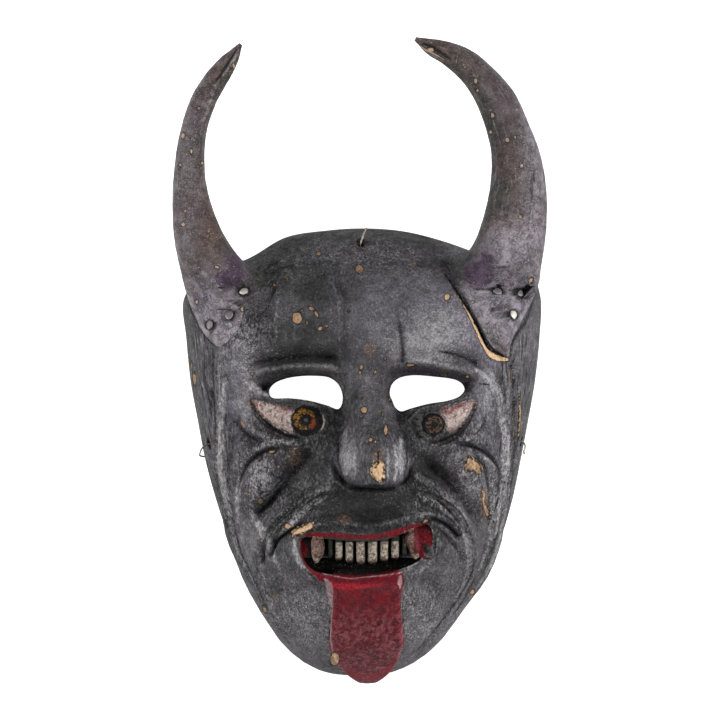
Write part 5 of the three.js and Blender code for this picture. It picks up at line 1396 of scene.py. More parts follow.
def build_groups():
    build, given, out = new_group("Aged Paint",
                                  {"Vector": None, "Grain": 420.0, "Mottle Scale": 60.0},
                                  ["Mottle", "Patch", "Speck", "Crease", "Height"])
    vector, grain = given["Vector"], given["Grain"]
    broad = build.noise(vector, given["Mottle Scale"], 6, 0.62, 0.5)
    medium = build.noise(vector, build.times(grain, 0.42), 5, 0.62, 0.3)
    fine = build.noise(vector, build.times(grain, 2.2), 4, 0.62)
    wander = build.noise(vector, grain, 2.5, 0.5, 0.9)
    ridge = build.math("ABSOLUTE", build.scaled(wander, 2.0, -1.0))
    crease = build.times(build.step(ridge, 0.26, 0.03), build.step(medium, 0.36, 0.6))
    cells = build.add("ShaderNodeTexVoronoi", {"Vector": vector, "Scale": build.times(grain, 1.1)})
    pit = build.step(cells.outputs[0], 0.34, 0.14)
    crease = build.most(crease, build.times(pit, build.step(broad, 0.45, 0.6)))
    speck = build.step(build.noise(vector, build.times(grain, 2.6), 3, 0.5), 0.6, 0.7)
    build.put(out["Mottle"], build.step(broad, 0.34, 0.68))
    build.put(out["Patch"], build.step(medium, 0.36, 0.66))
    build.put(out["Speck"], build.times(speck, build.step(broad, 0.4, 0.6)))
    build.put(out["Crease"], crease)
    height = build.scaled(medium, 1.3, build.scaled(crease, -0.5, build.times(fine, 0.8)))
    build.put(out["Height"], build.scaled(wander, 0.8, height))

    build, given, out = new_group("Wood Grain", {"Vector": None, "Rings": 260.0},
                                  ["Tone", "Height"])
    long_way = build.vector_math("MULTIPLY", given["Vector"], (1.0, 0.12, 1.0))[0]
    streak = build.noise(long_way, build.times(given["Rings"], 3.0), 4, 0.6, 0.2)
    wave = build.noise(long_way, build.times(given["Rings"], 0.5), 3, 0.5, 1.2)
    tone = build.math("ADD", build.times(streak, 0.6), build.times(wave, 0.4))
    build.put(out["Tone"], build.step(tone, 0.34, 0.66))
    build.put(out["Height"], streak)

    build, given, out = new_group(
        "Ragged Edge", {"Vector": None, "Depth": 0.0, "Rag": 0.6, "Scale": 900.0, "Soft": 0.15},
        ["Mask"])
    rag = build.math("SUBTRACT", build.noise(given["Vector"], given["Scale"], 5, 0.6), 0.5)
    depth = build.scaled(rag, build.times(given["Rag"], 4.0), given["Depth"])
    build.put(out["Mask"], build.step(depth, build.times(given["Soft"], -1.0), given["Soft"]))

    build, given, out = new_group(
        "Edge Wear", {"Vector": None, "Convex": 0.0, "From": 0.1, "To": 0.4, "Scale": 500.0},
        ["Worn", "Hollow"])
    rag = build.math("SUBTRACT", build.noise(given["Vector"], given["Scale"], 5, 0.65), 0.5)
    convex = build.scaled(rag, 0.5, given["Convex"])
    build.put(out["Worn"], build.step(convex, given["From"], given["To"]))
    build.put(out["Hollow"], build.step(build.times(given["Convex"], -1.0), 0.02, 0.28))


def mask_paint(colours):
    coat = Coat("Mask Paint", colours)
    paint, (wood, wood_height) = coat.paint(430.0, 55.0), coat.wood()
    wear = coat.wear(0.12, 0.5)
    faded, rough_wood, sides = coat.value("faded"), coat.value("rough"), coat.value("sides")
    deep, dusty = coat.value("deep"), coat.value("dust")

    # Black paint, faded, streaked, rubbed and dirty, with painted shade in deep places and cuts
    # and painted light on lit places and ridges
    coat.colour = coat.mixed(paint["Mottle"], "paint_dark", "paint_grey")
    coat.cover(coat.value("violet"), "paint_violet", 0.8)
    coat.cover(paint["Patch"], "paint_grey", 0.35)
    # painted shade: the deep places and the slot walls darkened towards black
    coat.cover(deep, "paint_dark", 0.8)
    # chalky faded paint, partly painted light on places that face the lights
    coat.cover(faded, "paint_faded_and_lit", 0.4)
    grains = coat.scaled(faded, 0.22, coat.field(950.0, 4, 0.72))
    coat.cover(coat.step(grains, 0.6, 0.78), "paint_worn_and_sheen", 0.7)
    streaks, dark_run = (
        coat.times(coat.patches(low, high, scale, 4, 0.6, stretch=UP_THE_SIDES), sides)
        for low, high, scale in ((0.5, 0.66, 640.0), (0.48, 0.36, 420.0)))
    coat.cover(streaks, "paint_worn_and_sheen", 0.5)
    coat.cover(dark_run, "dirt_and_shade", 0.8)
    coat.cover(wear["Worn"], "paint_worn_and_sheen", 0.6)
    fine = coat.field(800.0, 4, 0.7, 0.3, stretch=BRUSHED)
    clear = coat.scaled(deep, -0.85, 1.0)
    # rubbed ridges, partly a painted sheen along them
    worn = coat.times(coat.ragged("worn", 0.8, 420.0, 1.0), coat.step(fine, 0.38, 0.52, 0.45))
    coat.cover(worn, "paint_worn_and_sheen", 0.95)
    crest = coat.times(coat.ragged("crest", 0.9, 420.0, 1.0), clear)
    coat.cover(coat.times(crest, coat.step(fine, 0.4, 0.54, 0.2)), "paint_worn_and_sheen", 0.5)
    share = coat.scaled(rough_wood, 0.6, 0.16)
    light_bits = coat.times(coat.step(fine, 0.53, 0.59), coat.times(share, clear))
    dark_bits = coat.times(coat.step(fine, 0.475, 0.42), share)
    coat.cover(light_bits, "paint_worn_and_sheen", 0.62)
    coat.cover(dark_bits, "dirt_and_shade", 0.9)
    # dark cut lines, and painted shade on the floors of narrow cuts, beside the right slot and
    # under the nose
    coat.cover(coat.ragged("cut", 0.4, 520.0, 0.4), "dirt_and_shade", 0.9)
    coat.cover(wear["Hollow"], "dirt_and_shade", 0.9)

    # Red of lips, tongue and gums
    red_mask = coat.ragged("red", 0.35, 520.0, 0.22)
    red = coat.mixed(paint["Patch"], "red_dark", "red")
    dust = coat.times(
        coat.patches(0.44, 0.62, 380.0, 6, 0.72, 0.4, stretch=(1.0, 0.45, 1.0)), dusty)
    red = coat.over(red, dust, "pink", 0.9)
    # brighter red on the lower lip, and a painted highlight along the tongue's lower rim
    red = coat.over(red, coat.ragged("bright", 0.4, 420.0, 0.6), "red_bright_and_highlight", 0.9)
    red = coat.over(red, coat.times(coat.step(fine, 0.47, 0.4), dusty), "red_dark", 0.35)
    coat.cover(red_mask, red)
    # pale rims, rubbed and partly a painted highlight
    coat.cover(coat.ragged("rubbed", 0.35, 650.0, 0.3), "pink_pale_and_lit", 0.8)

    # Mouth, teeth and fangs
    # painted shade: the blind mouth and the wire holes painted near black
    coat.cover(coat.value("mouth"), "mouth")
    stain = coat.field(620.0, 6, 0.74)
    ivory = coat.mixed(coat.step(stain, 0.4, 0.6), "ivory", "ivory_stain")
    ivory = coat.over(ivory, coat.value("tooth_foot"), "tooth_foot", 0.6)
    coat.cover(coat.value("tooth"), "tooth_green")
    coat.cover(coat.ragged("ivory", 0.22, 1000.0, 0.12), ivory)
    fang_red = coat.mixed(coat.step(stain, 0.42, 0.62), "fang_red", "red_dark")
    coat.cover(coat.ragged("fang", 0.16, 900.0, 0.15), fang_red)
    coat.cover(coat.ragged("fang_pale", 0.16, 900.0, 0.2), ivory, 0.85)

    # Eyes
    eye_mask = coat.ragged("eye", 0.3, 600.0, 0.25)
    coat.cover(eye_mask, coat.mixed(coat.patches(0.5, 0.6, 560.0, 5, 0.7), "eye_socket", "dirt_and_shade"))
    grime = coat.patches(0.45, 0.62, 520.0, 6, 0.75, 0.5, stretch=(0.7, 1.0, 1.0))
    white = coat.mixed(grime, "eye_white", "eye_grime")
    blood = coat.times(coat.patches(0.36, 0.56, 420.0, 5, 0.65), coat.value("blood"))
    white = coat.over(white, blood, "eye_red", 0.9)
    coat.cover(coat.ragged("white", 0.3, 700.0, 0.2), white)
    wobble = coat.scaled(coat.field(520.0, 4, 0.65), 2.6, -1.3)
    flecks = coat.patches(0.47, 0.54, 760.0, 4, 0.7)
    in_eye = coat.step(coat.value("eye"), -1.6, -0.6)
    for middle, radius, name in IRISES:
        away = coat.math("ADD", coat.from_middle(middle), wobble)
        tone = coat.mixed(flecks, name, "dirt_and_shade") if name in ("amber", "iris") else name
        coat.cover(coat.times(coat.step(away, radius + 0.25, radius - 0.25), in_eye), tone)
    coat.cover(coat.ragged("ember", 0.4, 700.0, 0.4), "ember", 0.8)

    # Specks, creases and rubbed, chipped or unpainted wood
    plain = coat.math("SUBTRACT", 1.0,
                      coat.most(eye_mask, coat.most(red_mask, coat.value("tooth"))))
    coat.cover(coat.times(paint["Speck"], plain), "paint_worn_and_sheen", 0.55)
    crease = coat.times(coat.times(paint["Crease"], coat.scaled(rough_wood, 0.5, 0.42)),
                        coat.scaled(plain, 0.75, 0.25))
    coat.cover(crease, "dirt_and_shade")
    scuff = coat.ragged("scuff", 0.9, 300.0, 0.9)
    coat.cover(scuff, "scuff", 0.5)
    coat.cover(coat.times(coat.patches(0.56, 0.63, 760.0, 4, 0.7), scuff), wood, 0.8)
    # painted shadow along the paint's edge round each chip
    coat.cover(coat.ragged("chip_rim", 0.4, 520.0, 0.25), "dirt_and_shade", 0.85)
    chip = coat.ragged("chip", 0.4, 520.0, 0.12)
    fresh = coat.mixed(0.2, wood, "wood_fresh")
    stained = coat.patches(0.5, 0.62, 480.0, 5, 0.65)
    old_wood = coat.over(coat.mixed(0.4, wood, "scuff"), stained, "scuff", 0.7)
    coat.cover(chip, coat.blend(coat.value("fresh"), old_wood, fresh))
    # dark cracks, and painted shade in the open gap along the right foot
    coat.cover(coat.step(coat.value("crack"), -0.25, 0.1), "mouth")
    inner = coat.value("inner")
    aged = coat.mixed(coat.patches(0.35, 0.65, 70.0, 5, 0.6), "inside_dark", "inside_pale")
    coat.cover(inner, coat.blend(0.45, aged, wood))

    bare = coat.most(chip, inner)
    rough = coat.scaled(crease, 0.2, coat.step(paint["Patch"], 0.0, 1.0, 0.24, 0.36))
    rough = coat.most(rough, coat.times(bare, 0.78))
    rough = coat.most(rough, coat.times(coat.value("mouth"), 0.7))
    height = coat.times(paint["Height"], coat.scaled(bare, -0.75, 1.0))
    height = coat.times(height, coat.scaled(rough_wood, 0.7, 0.6))
    for mask, by in ((streaks, -0.4), (dark_run, -0.8), (chip, -0.5),
                     (coat.times(bare, wood_height), 0.5), (dark_bits, -0.8)):
        height = coat.scaled(mask, by, height)
    coat.close(rough, height, 0.0013, **{"Specular IOR Level": 0.12})


def horn_paint(colours):
    coat = Coat("Horn Paint", colours)
    paint, (wood, wood_height) = coat.paint(460.0, 70.0), coat.wood()
    across, length, faded = coat.value("across"), coat.value("length"), coat.value("faded")
    run = coat.add("ShaderNodeCombineXYZ", {0: coat.times(across, 0.02),
                                            1: coat.times(length, 0.03)}).outputs[0]
    streaks = coat.times(coat.noise(run, 420.0, 5, 0.66, 0.2), coat.step(length, 0.34, 0.44))
    belt = coat.math("ADD", coat.scaled(coat.field(120.0, 5, 0.65), 1.4, -0.7), across)
    coat.colour = coat.mixed(coat.step(belt, -0.75, -0.1), "horn_green", "horn_brown")
    coat.cover(coat.step(belt, 0.3, 0.8), "horn_grey")
    coat.cover(coat.math("SUBTRACT", 1.0, paint["Mottle"]), "horn_dark", 0.3)
    ruddy = coat.times(coat.patches(0.46, 0.6, 42.0, 4, 0.6, 0.4), coat.step(length, 0.3, 0.42))
    coat.cover(ruddy, "horn_ruddy", 0.65)
    coat.cover(coat.value("rust_tint"), "horn_rust", 0.6)
    # chalky feet, partly painted light where they face the lights
    coat.cover(faded, "foot_pale_and_lit", 0.9)
    grains = coat.scaled(faded, 0.2, coat.field(950.0, 4, 0.72))
    coat.cover(coat.step(grains, 0.6, 0.78), "paint_worn_and_sheen", 0.6)
    coat.cover(coat.value("deep"), "paint_dark", 0.7)
    violet = coat.times(coat.value("violet"), coat.step(paint["Patch"], 0.0, 1.0, 0.55))
    coat.cover(violet, "paint_violet", 0.9)
    coat.cover(coat.ragged("purple", 1.6, 320.0, 1.6), "purple", 0.7)
    coat.cover(coat.step(streaks, 0.52, 0.72), "paint_worn_and_sheen", 0.4)
    wear = coat.wear(0.12, 0.55, 350.0)
    coat.cover(wear["Worn"], "paint_worn_and_sheen", 0.5)
    # chalky strokes, and a painted highlight along the right foot's outer edge
    coat.cover(coat.ragged("pale", 1.4, 300.0, 1.0), "pale_grey_and_highlight", 0.7)
    coat.cover(wear["Hollow"], "dirt_and_shade", 0.8)
    coat.cover(paint["Crease"], "dirt_and_shade", 0.6)
    coat.cover(paint["Speck"], "pale_grey_and_highlight", 0.5)
    fleck = coat.times(coat.patches(0.63, 0.67, 880.0, 3, 0.6),
                       coat.patches(0.45, 0.56, 60.0, 3, 0.6))
    coat.cover(fleck, wood, 0.85)
    # painted shade at the right foot's inner edge and round the nail heads, with dark cracks and
    # lines by the points
    coat.cover(coat.value("shade"), "dirt_and_shade")
    # painted shadow along the paint's edge round each chip
    coat.cover(coat.ragged("chip_rim", 0.3, 900.0, 0.25), "dirt_and_shade", 0.7)
    chip = coat.ragged("chip", 0.3, 900.0, 0.12)
    coat.cover(chip, coat.mixed(0.35, wood, "pale_grey_and_highlight"))
    rough = coat.most(coat.step(paint["Patch"], 0.0, 1.0, 0.28, 0.43), coat.times(chip, 0.78))
    height = coat.scaled(streaks, 0.7, paint["Height"])
    height = coat.scaled(chip, -0.8, height)
    height = coat.scaled(coat.times(chip, wood_height), 0.5, height)
    coat.close(rough, height, 0.0011, **{"Specular IOR Level": 0.2})


def iron(colours, name, rust, painted=0.0, metal=0.9):
    coat = Coat(name, colours)
    blotch = coat.patches(0.5 - 0.3 * rust, 0.72, 420.0, 6, 0.65, 0.4)
    coat.colour = coat.mixed(blotch, "iron_bright" if metal < 0.5 else "iron", "rust")
    coat.cover(coat.wear(0.3, 1.2, 700.0)["Worn"], "iron_bright", 0.6)
    old = coat.times(coat.patches(0.75, 0.35, 700.0, 5, 0.65), painted)
    coat.cover(old, "paint_violet")
    metallic = coat.step(blotch, 0.0, 1.0, metal * (1 - painted), 0.15)
    rough = coat.step(blotch, 0.0, 1.0, 0.34, 0.7)
    height = coat.math("ADD", coat.field(900.0, 5, 0.6), blotch)
    coat.close(rough, height, 0.00015, metallic)


# ---------------------------------------------------------------- settings
def colour_property(name, description, default):
    return FloatVectorProperty(name=name, description=description, subtype="COLOR", size=3,
                               min=0.0, max=1.0, default=default)


class MaskColours(bpy.types.PropertyGroup):
    paint_dark: colour_property("Black paint", "Deepest black of the face", (0.017, 0.0165, 0.017))
    paint_grey: colour_property("Faded paint", "Where the black has faded", (0.100, 0.096, 0.101))
    paint_violet: colour_property("Violet paint", "Greyer, violet patches", (0.130, 0.112, 0.146))
    # also painted light on places that face the lights
    paint_faded_and_lit: colour_property("Chalky paint", "Dusty, faded places", (0.285, 0.265, 0.295))
    # rubbed paint, also a painted sheen on lit ridges
    paint_worn_and_sheen: colour_property("Rubbed paint", "Rubbed ridges", (0.36, 0.352, 0.358))
    # also a painted highlight along the right foot's edge
    pale_grey_and_highlight: colour_property("Pale grey", "Chalky grey patches", (0.30, 0.28, 0.29))
    purple: colour_property("Purple", "Purple at the horns' feet", (0.055, 0.022, 0.060))
    # dirt and painted shade: dirt in creases, and painted shade in cuts, round chips, in the right
    # foot's gap and round the nails
    dirt_and_shade: colour_property("Dirt", "Dirt in the deepest cuts", (0.006, 0.0055, 0.0055))
    red: colour_property("Red", "Red of the tongue", (0.190, 0.004, 0.012))
    red_dark: colour_property("Dark red", "Red in the shade of the lips", (0.082, 0.006, 0.011))
    # also a painted highlight on the tongue's lower rim
    red_bright_and_highlight: colour_property("Bright red", "Fresh red on the lower lip", (0.30, 0.006, 0.016))
    pink: colour_property("Pink dust", "Chalky red", (0.36, 0.105, 0.125))
    # also a painted highlight on the lip's rims
    pink_pale_and_lit: colour_property("Pale pink", "Rubbed rims of the tongue", (0.42, 0.27, 0.28))
    # painted shade in the mouth and in the wire holes
    mouth: colour_property("Mouth", "Dark inside the mouth", (0.006, 0.006, 0.0045))
    ivory: colour_property("Ivory", "Teeth", (0.46, 0.395, 0.32))
    ivory_stain: colour_property("Tooth stain", "Stained teeth", (0.10, 0.082, 0.062))
    tooth_green: colour_property("Dull tooth", "Sides of the teeth", (0.030, 0.032, 0.024))
    tooth_foot: colour_property("Tooth foot", "Reddish feet of the teeth", (0.16, 0.055, 0.035))
    fang_red: colour_property("Fang red", "Brick red on the fangs", (0.12, 0.020, 0.022))
    eye_white: colour_property("Eye white", "Whites of the eyes", (0.50, 0.405, 0.37))
    eye_grime: colour_property("Eye grime", "Grime on the whites", (0.11, 0.080, 0.072))
    eye_red: colour_property("Eye red", "Red on the whites", (0.17, 0.030, 0.038))
    eye_socket: colour_property("Eye socket", "Grey about the irises", (0.085, 0.082, 0.082))
    eye_grey: colour_property("Eye grey", "Middle of a pupil", (0.075, 0.080, 0.092))
    amber: colour_property("Amber", "Amber iris", (0.25, 0.118, 0.020))
    iris: colour_property("Iris", "Brown iris", (0.12, 0.074, 0.048))
    ember: colour_property("Ember", "Red of the amber iris", (0.19, 0.030, 0.010))
    pupil: colour_property("Pupil", "Pupils", (0.006, 0.006, 0.006))
    scuff: colour_property("Scuff", "Brown where paint is thin", (0.105, 0.068, 0.050))
    wood_pale: colour_property("Pale wood", "Bare wood, light grain", (0.62, 0.42, 0.255))
    wood_fresh: colour_property("Fresh wood", "Bare wood where the chip is new",
                                (0.82, 0.60, 0.36))
    wood_dark: colour_property("Dark wood", "Bare wood, dark grain", (0.33, 0.20, 0.115))
    inside_pale: colour_property("Inside, pale", "Old wood inside", (0.36, 0.25, 0.165))
    inside_dark: colour_property("Inside, dark", "Handled wood inside", (0.13, 0.085, 0.055))
    horn_dark: colour_property("Horn, dark", "Dark horn paint", (0.020, 0.017, 0.016))
    horn_brown: colour_property("Horn, brown", "Brown horn paint", (0.092, 0.074, 0.071))
    horn_green: colour_property("Horn, green", "Greenish horn paint", (0.040, 0.043, 0.037))
    horn_grey: colour_property("Horn, grey", "Greyed horn paint", (0.128, 0.116, 0.128))
    horn_ruddy: colour_property("Horn, ruddy", "Red-brown bloom on the horns",
                                (0.092, 0.052, 0.056))
    # also painted light on the horns' feet and outer edges
    foot_pale_and_lit: colour_property("Horn feet", "Chalky violet of the horns' feet",
                               (0.30, 0.262, 0.305))
    horn_rust: colour_property("Horn, rust", "Rusty brown low on the horns", (0.130, 0.080, 0.056))
    iron: colour_property("Iron", "Dark iron", (0.20, 0.19, 0.18))
    iron_bright: colour_property("Bright iron", "Rubbed iron", (0.50, 0.47, 0.43))
    rust: colour_property("Rust", "Rusted iron", (0.10, 0.050, 0.030))
    floor: colour_property("Floor", "Pale floor", (0.5, 0.5, 0.5))


class MaskStage(bpy.types.PropertyGroup):
    distance: FloatProperty(name="Camera distance", description="Camera height over the floor",
                            default=9.0, min=0.5, max=15.0, unit="LENGTH")
    view: FloatProperty(name="View width", description="Width that the camera takes in",
                        default=0.3935, min=0.1, max=2.0, unit="LENGTH")
    sides: FloatProperty(name="Side lights", description="Power of the two side lights",
                         default=27.0, min=0.0, max=500.0, unit="POWER")
    crown: FloatProperty(name="Crown light", description="Power of the light beyond the crown",
                         default=2.4, min=0.0, max=500.0, unit="POWER")
    overhead: FloatProperty(name="Overhead light", description="Power of the light from above",
                            default=0.25, min=0.0, max=500.0, unit="POWER")
    glow: FloatProperty(name="Floor glow",
                        description="How brightly the floor shines to the camera",
                        default=1.05, min=0.0, max=5.0)


# ---------------------------------------------------------------- what each piece is made of
def glow(places, x, y):
    """Soft ovals added up: middle, half sizes, turn and strength of each."""
    total = np.zeros(x.shape)
    for at, size, turn, share in places:
        total += share * np.exp(-bump(at, size, turn, x, y))
    return np.clip(total, 0, 1)


def paint_zones(mesh):
    """Writes on each point of the mask what is painted there."""
    x, y, z = face_frame(mesh).T
    dome = dome_height(share_out(x, y))
    outer = dome + carving(x, y) * smooth(0, RELIEF_FADE, dome)
    from_rim = (1 - share_out(x, y)) * reach_towards(x, y)
    inner = smooth(4.5, 6.5, outer - z) * smooth(2.5, 4.5, from_rim)
    inner = np.maximum(inner, smooth(0.3, 0.02, z) * smooth(1.2, 2.6, from_rim))
    in_mouth = depth_inside(mouth_line, x, y, 20)
    shaft = smooth(-1.0, -0.3, in_mouth) * (outer - z > 2.5)
    recess = np.maximum(smooth(-0.4, 0.4, in_mouth), shaft) * (z > MOUTH_FLOOR - 2.5)
    recess = recess * (z < MOUTH_TOP)
    # the bores of the wire holes get painted shade
    holes = np.zeros(x.shape)
    for at in WIRE_HOLES.values():
        seat, way = (np.array(part) for part in on_dome(at))
        off = face_frame(mesh) - seat
        away = np.linalg.norm(np.cross(off, way), axis=1)
        near = np.linalg.norm(off, axis=1) < HOLE_DARK["near"]
        dark = smooth(HOLE_DARK["edge"], HOLE_DARK["full"], away)
        holes = np.maximum(holes, dark * near * (z < dome - 0.25))
    on_tongue = (y < TONGUE_TOP) & (z > along(*TONGUE_LOW, y)) & (y > TONGUE_TIP)
    inner = inner * (1 - recess) * (1 - holes) * (1 - on_tongue)
    face = inner < 0.5

    def keep(name, values):
        store(mesh, name, np.where(face, values, UNPAINTED))

    # Red of the tongue and lips
    edge = along(*TONGUE_HALF, y) - np.abs(x - TONGUE_MIDDLE) + 0.3
    tongue_in = np.where(on_tongue & (in_mouth < 0.2), np.minimum(edge, 4), UNPAINTED)
    corner = 2.4 * np.maximum.reduce([smooth(*ends, x) for ends in GUM_ENDS]) - 1.2
    corner = np.where((in_mouth > 0) & (z > GUM["front"] - 6), corner, UNPAINTED)
    keep("red", np.maximum.reduce([tongue_in, strokes(RED_LINES, x, y), corner]))
    # brighter red on the lower lip, and a painted highlight along the tongue's lower rim
    keep("bright", strokes(BRIGHT_RED_AND_HIGHLIGHT_LINES, x, y))
    store(mesh, "dust", (0.1 + 0.9 * smooth(-76, -98, y)) * on_tongue)
    # pale rims, rubbed and partly a painted highlight
    keep("rubbed", strokes(RUBBED_AND_LIT_LINES, x, y))

    # Teeth and fangs
    front = (z > GUM["front"] + 0.5) & (in_mouth > -0.6)
    tooth, feet = np.zeros(x.shape), np.zeros(x.shape)
    ivory, fang_depth = np.full(x.shape, UNPAINTED), np.full(x.shape, UNPAINTED)
    for k, foot in enumerate(TOOTH_FEET):
        left, right = TEETH_EDGES[k:k + 2]
        own = front & (x > left - 0.6) & (x < right + 0.6) & (y > foot - 0.6)
        own = own & (y < TOOTH_PAINT_TOP)
        tooth = np.maximum(tooth, own)
        if 0 < k < len(TOOTH_FEET) - 1:
            depth = (right - left - TOOTH_GAP) / 2 - 0.5 - np.abs(x - (left + right) / 2)
            depth = np.minimum.reduce([depth, y - foot - 0.1, IVORY_TOP - y + 0.02 * x,
                                       0.9 + 0 * x])
            ivory = np.where(own, np.maximum(ivory, depth), ivory)
            feet = np.where(own, smooth(foot + 2.6, foot + 1.0, y), feet)
    for rows in FANGS.values():
        own = np.where((z > GUM["front"] - 1) & (in_mouth > -0.6), stroke(rows, x, y), UNPAINTED)
        fang_depth = np.maximum(fang_depth, own)
    store(mesh, "tooth", tooth * (fang_depth < -0.2))
    keep("ivory", np.where(fang_depth > 0, UNPAINTED, ivory))
    store(mesh, "tooth_foot", feet)
    keep("fang", fang_depth)
    pale = np.minimum(fang_depth, 0.5 - fang_depth)
    pale = np.maximum(pale, np.where(fang_depth > 0, 0.9 * smooth(-55.5, -57, y), UNPAINTED))
    pale = np.where(x > 0, np.minimum(pale, (26 - x) * 0.5 + 0.8), pale)
    pale = np.maximum(pale, np.where((fang_depth > 0) & (x > 0), 0.8 - np.abs(y + 55.2) * 0.5,
                                     UNPAINTED))
    keep("fang_pale", pale)
    # painted shade over the mouth's floor and walls, and in the wire holes
    mouth = np.maximum(smooth(-0.3, 0.8, in_mouth), shaft)
    mouth = mouth * recess * (1 - tooth) * (fang_depth < 0.1)
    mouth = mouth * (1 - smooth(-1.0, 0.4, corner)) * (tongue_in < 0)
    store(mesh, "mouth", np.maximum(mouth, holes))

    # Eyes
    keep("eye", np.maximum.reduce([depth_inside(line, x, y, 8) for line in eye_lines]))
    whites = [depth_inside(line, x, y, 8) for line in white_lines]
    keep("white", np.maximum.reduce([stroke(WHITE_CRESCENT, x, y), *whites]))
    keep("ember", stroke(EMBER, x, y))

    # Wear and tone
    chip = chip_depth(x, y)
    keep("chip", chip)
    # painted shadow just outside each chip
    keep("chip_rim", chip + 0.4)
    # dark cracks, and painted shade in the open gap along the right foot
    keep("crack", np.maximum(crack_depth(x, y), stroke(FOOT_GAP, x, y)))
    keep("scuff", ovals(SCUFFS, x, y))
    tones = {name: glow(places, x, y) for name, places in GLOWS.items()}
    store(mesh, "fresh", np.minimum(1, 3 * glow(FRESH_PLACES, x, y)))
    cut, crest = line_marks(x, y)
    # painted shade on the walls and rims of the eye slots, added to the cut lines on the right and
    # to the deep places
    walls = smooth(-1.3, -0.5, np.maximum.reduce(
        [depth_inside(line, x, y) for line in slot_lines.values()]))
    cut = np.maximum(cut, np.where(x > 0, 1.2 * walls - 0.9, FAR_OUT))
    keep("cut", np.maximum(cut, strokes(CUT_LINES, x, y)))
    keep("crest", crest)
    # rubbed ridges, partly a painted sheen along them
    keep("worn", strokes(WORN_AND_SHEEN_LINES, x, y))
    tones["deep"] = np.maximum(tones["deep"], walls)
    for name, values in tones.items():
        store(mesh, name, values)
    wide = smooth(SIDES_FROM, SIDES_TO, np.abs(x) + 0.12 * np.maximum(0, -y))
    store(mesh, "sides", wide * (y < SIDES_TOP))
    store(mesh, "inner", inner)
    store(mesh, "convex", curvature(mesh, 2))


def horn_zones(mesh, side, horn):
    """Writes on each point of a horn what is painted or worn there."""
    x, y, z = face_frame(mesh).T
    middles = (np.array(horn["inner"]) + np.array(horn["outer"])) / 2
    reach = np.linalg.norm(np.array(horn["outer"]) - np.array(horn["inner"]), axis=1) / 2
    line = curve(middles, 160)
    off, at = measure(line, x, y)
    near = np.clip((at * (len(line) - 1)).astype(int), 0, len(line) - 2)
    ahead = line[near + 1] - line[near]
    side_way = ahead[:, 0] * (y - line[near, 1]) - ahead[:, 1] * (x - line[near, 0])
    outwards = 1 if side == "left" else -1
    wide = np.interp(at * (len(reach) - 1), np.arange(len(reach)), reach)
    store(mesh, "across", np.clip(outwards * np.sign(side_way) * off / wide, -1.3, 1.3))
    store(mesh, "length", at)
    facing = z > HORN_BACK

    def keep(name, values):
        store(mesh, name, np.where(facing, values, FAR_OUT))

    chip = np.maximum.reduce([ovals(HORN_CHIPS[side], x, y),
                              *(stroke(rows, x, y) for rows in HORN_BARE_LINES[side])])
    keep("chip", chip)
    # painted shadow just outside each chip
    keep("chip_rim", chip + 0.45)
    keep("purple", ovals(PURPLE_PLACES[side], x, y))
    # chalky strokes, and a painted highlight along the right foot's outer edge
    keep("pale", strokes(PALE_AND_HIGHLIGHT_STROKES[side], x, y))
    dome = dome_height(share_out(x, y))
    top = dome + carving(x, y) * smooth(0, RELIEF_FADE, dome)
    away, _ = measure(curve(horn["inner"][:5], 60), x, y)
    # painted shade on the right foot's inner edge, and below round the nail heads
    wall = smooth(0.7, 0.25, away) * smooth(2.6, 1.4, z - top) * (side == "right")
    cracks = strokes([[(*spot, 0.42) for spot in path] for path in HORN_CRACKS[side]], x, y)
    tip = stroke(HORN_TIPS[side], x, y)
    for spot in NAILS[side]:
        away = np.hypot(x - spot[0], y - spot[1]) + 0.3 * ripple(x, y, z, 2.4)
        wall = np.maximum(wall, 0.95 * smooth(3.7, 3.2, away) * facing)
    cracks = np.where(facing, np.maximum(cracks, tip), FAR_OUT)
    store(mesh, "shade", np.maximum(wall, smooth(-0.25, 0.2, cracks)))
    for name, places in HORN_GLOWS.items():
        store(mesh, name, glow(places[side], x, y))
    store(mesh, "convex", curvature(mesh, 2))


def crumpled_nail(name, at, horn, seed):
    """A hand-made nail with an uneven domed head on a tapering square shank."""
    seat, way = nail_line(at, horn)
    side = Vector((0, 1, 0)).cross(way).normalized()
    other = way.cross(side)

    def ring(radius, height, square):
        points = []
        for a in circle(28):
            c, s = math.cos(a), math.sin(a)
            corner = (abs(c) ** square + abs(s) ** square) ** (-1 / square)
            uneven = 1 + 0.05 * math.sin(3 * a + seed) + 0.035 * math.sin(5 * a + 2.3 * seed)
            r = radius * corner * (uneven if radius > 1.2 else 1)
            lift = 0.07 * math.sin(2 * a + seed) * radius / NAIL["head"]
            points.append(seat + (height + lift) * way + r * (c * side + s * other))
        return points

    head, high = NAIL["head"] * 0.93, NAIL["high"]
    profile = [(0.15, -NAIL["length"], 4), (0.45, -NAIL["length"] + 2, 4), (0.85, -6, 4),
               (1.0, -1, 4), (1.0, 0.05, 3),
               (head * 0.93, 0.22, 2), (head, 0.36, 2), (head * 0.985, 0.55, 2),
               (head * 0.9, 0.8, 2), (head * 0.7, 1.0, 2), (head * 0.42, high + 0.06, 2),
               (head * 0.15, high + 0.1, 2)]
    made = solid(name, [ring(*row) for row in profile])
    store(made.data, "convex", curvature(made.data, 1))
    return made


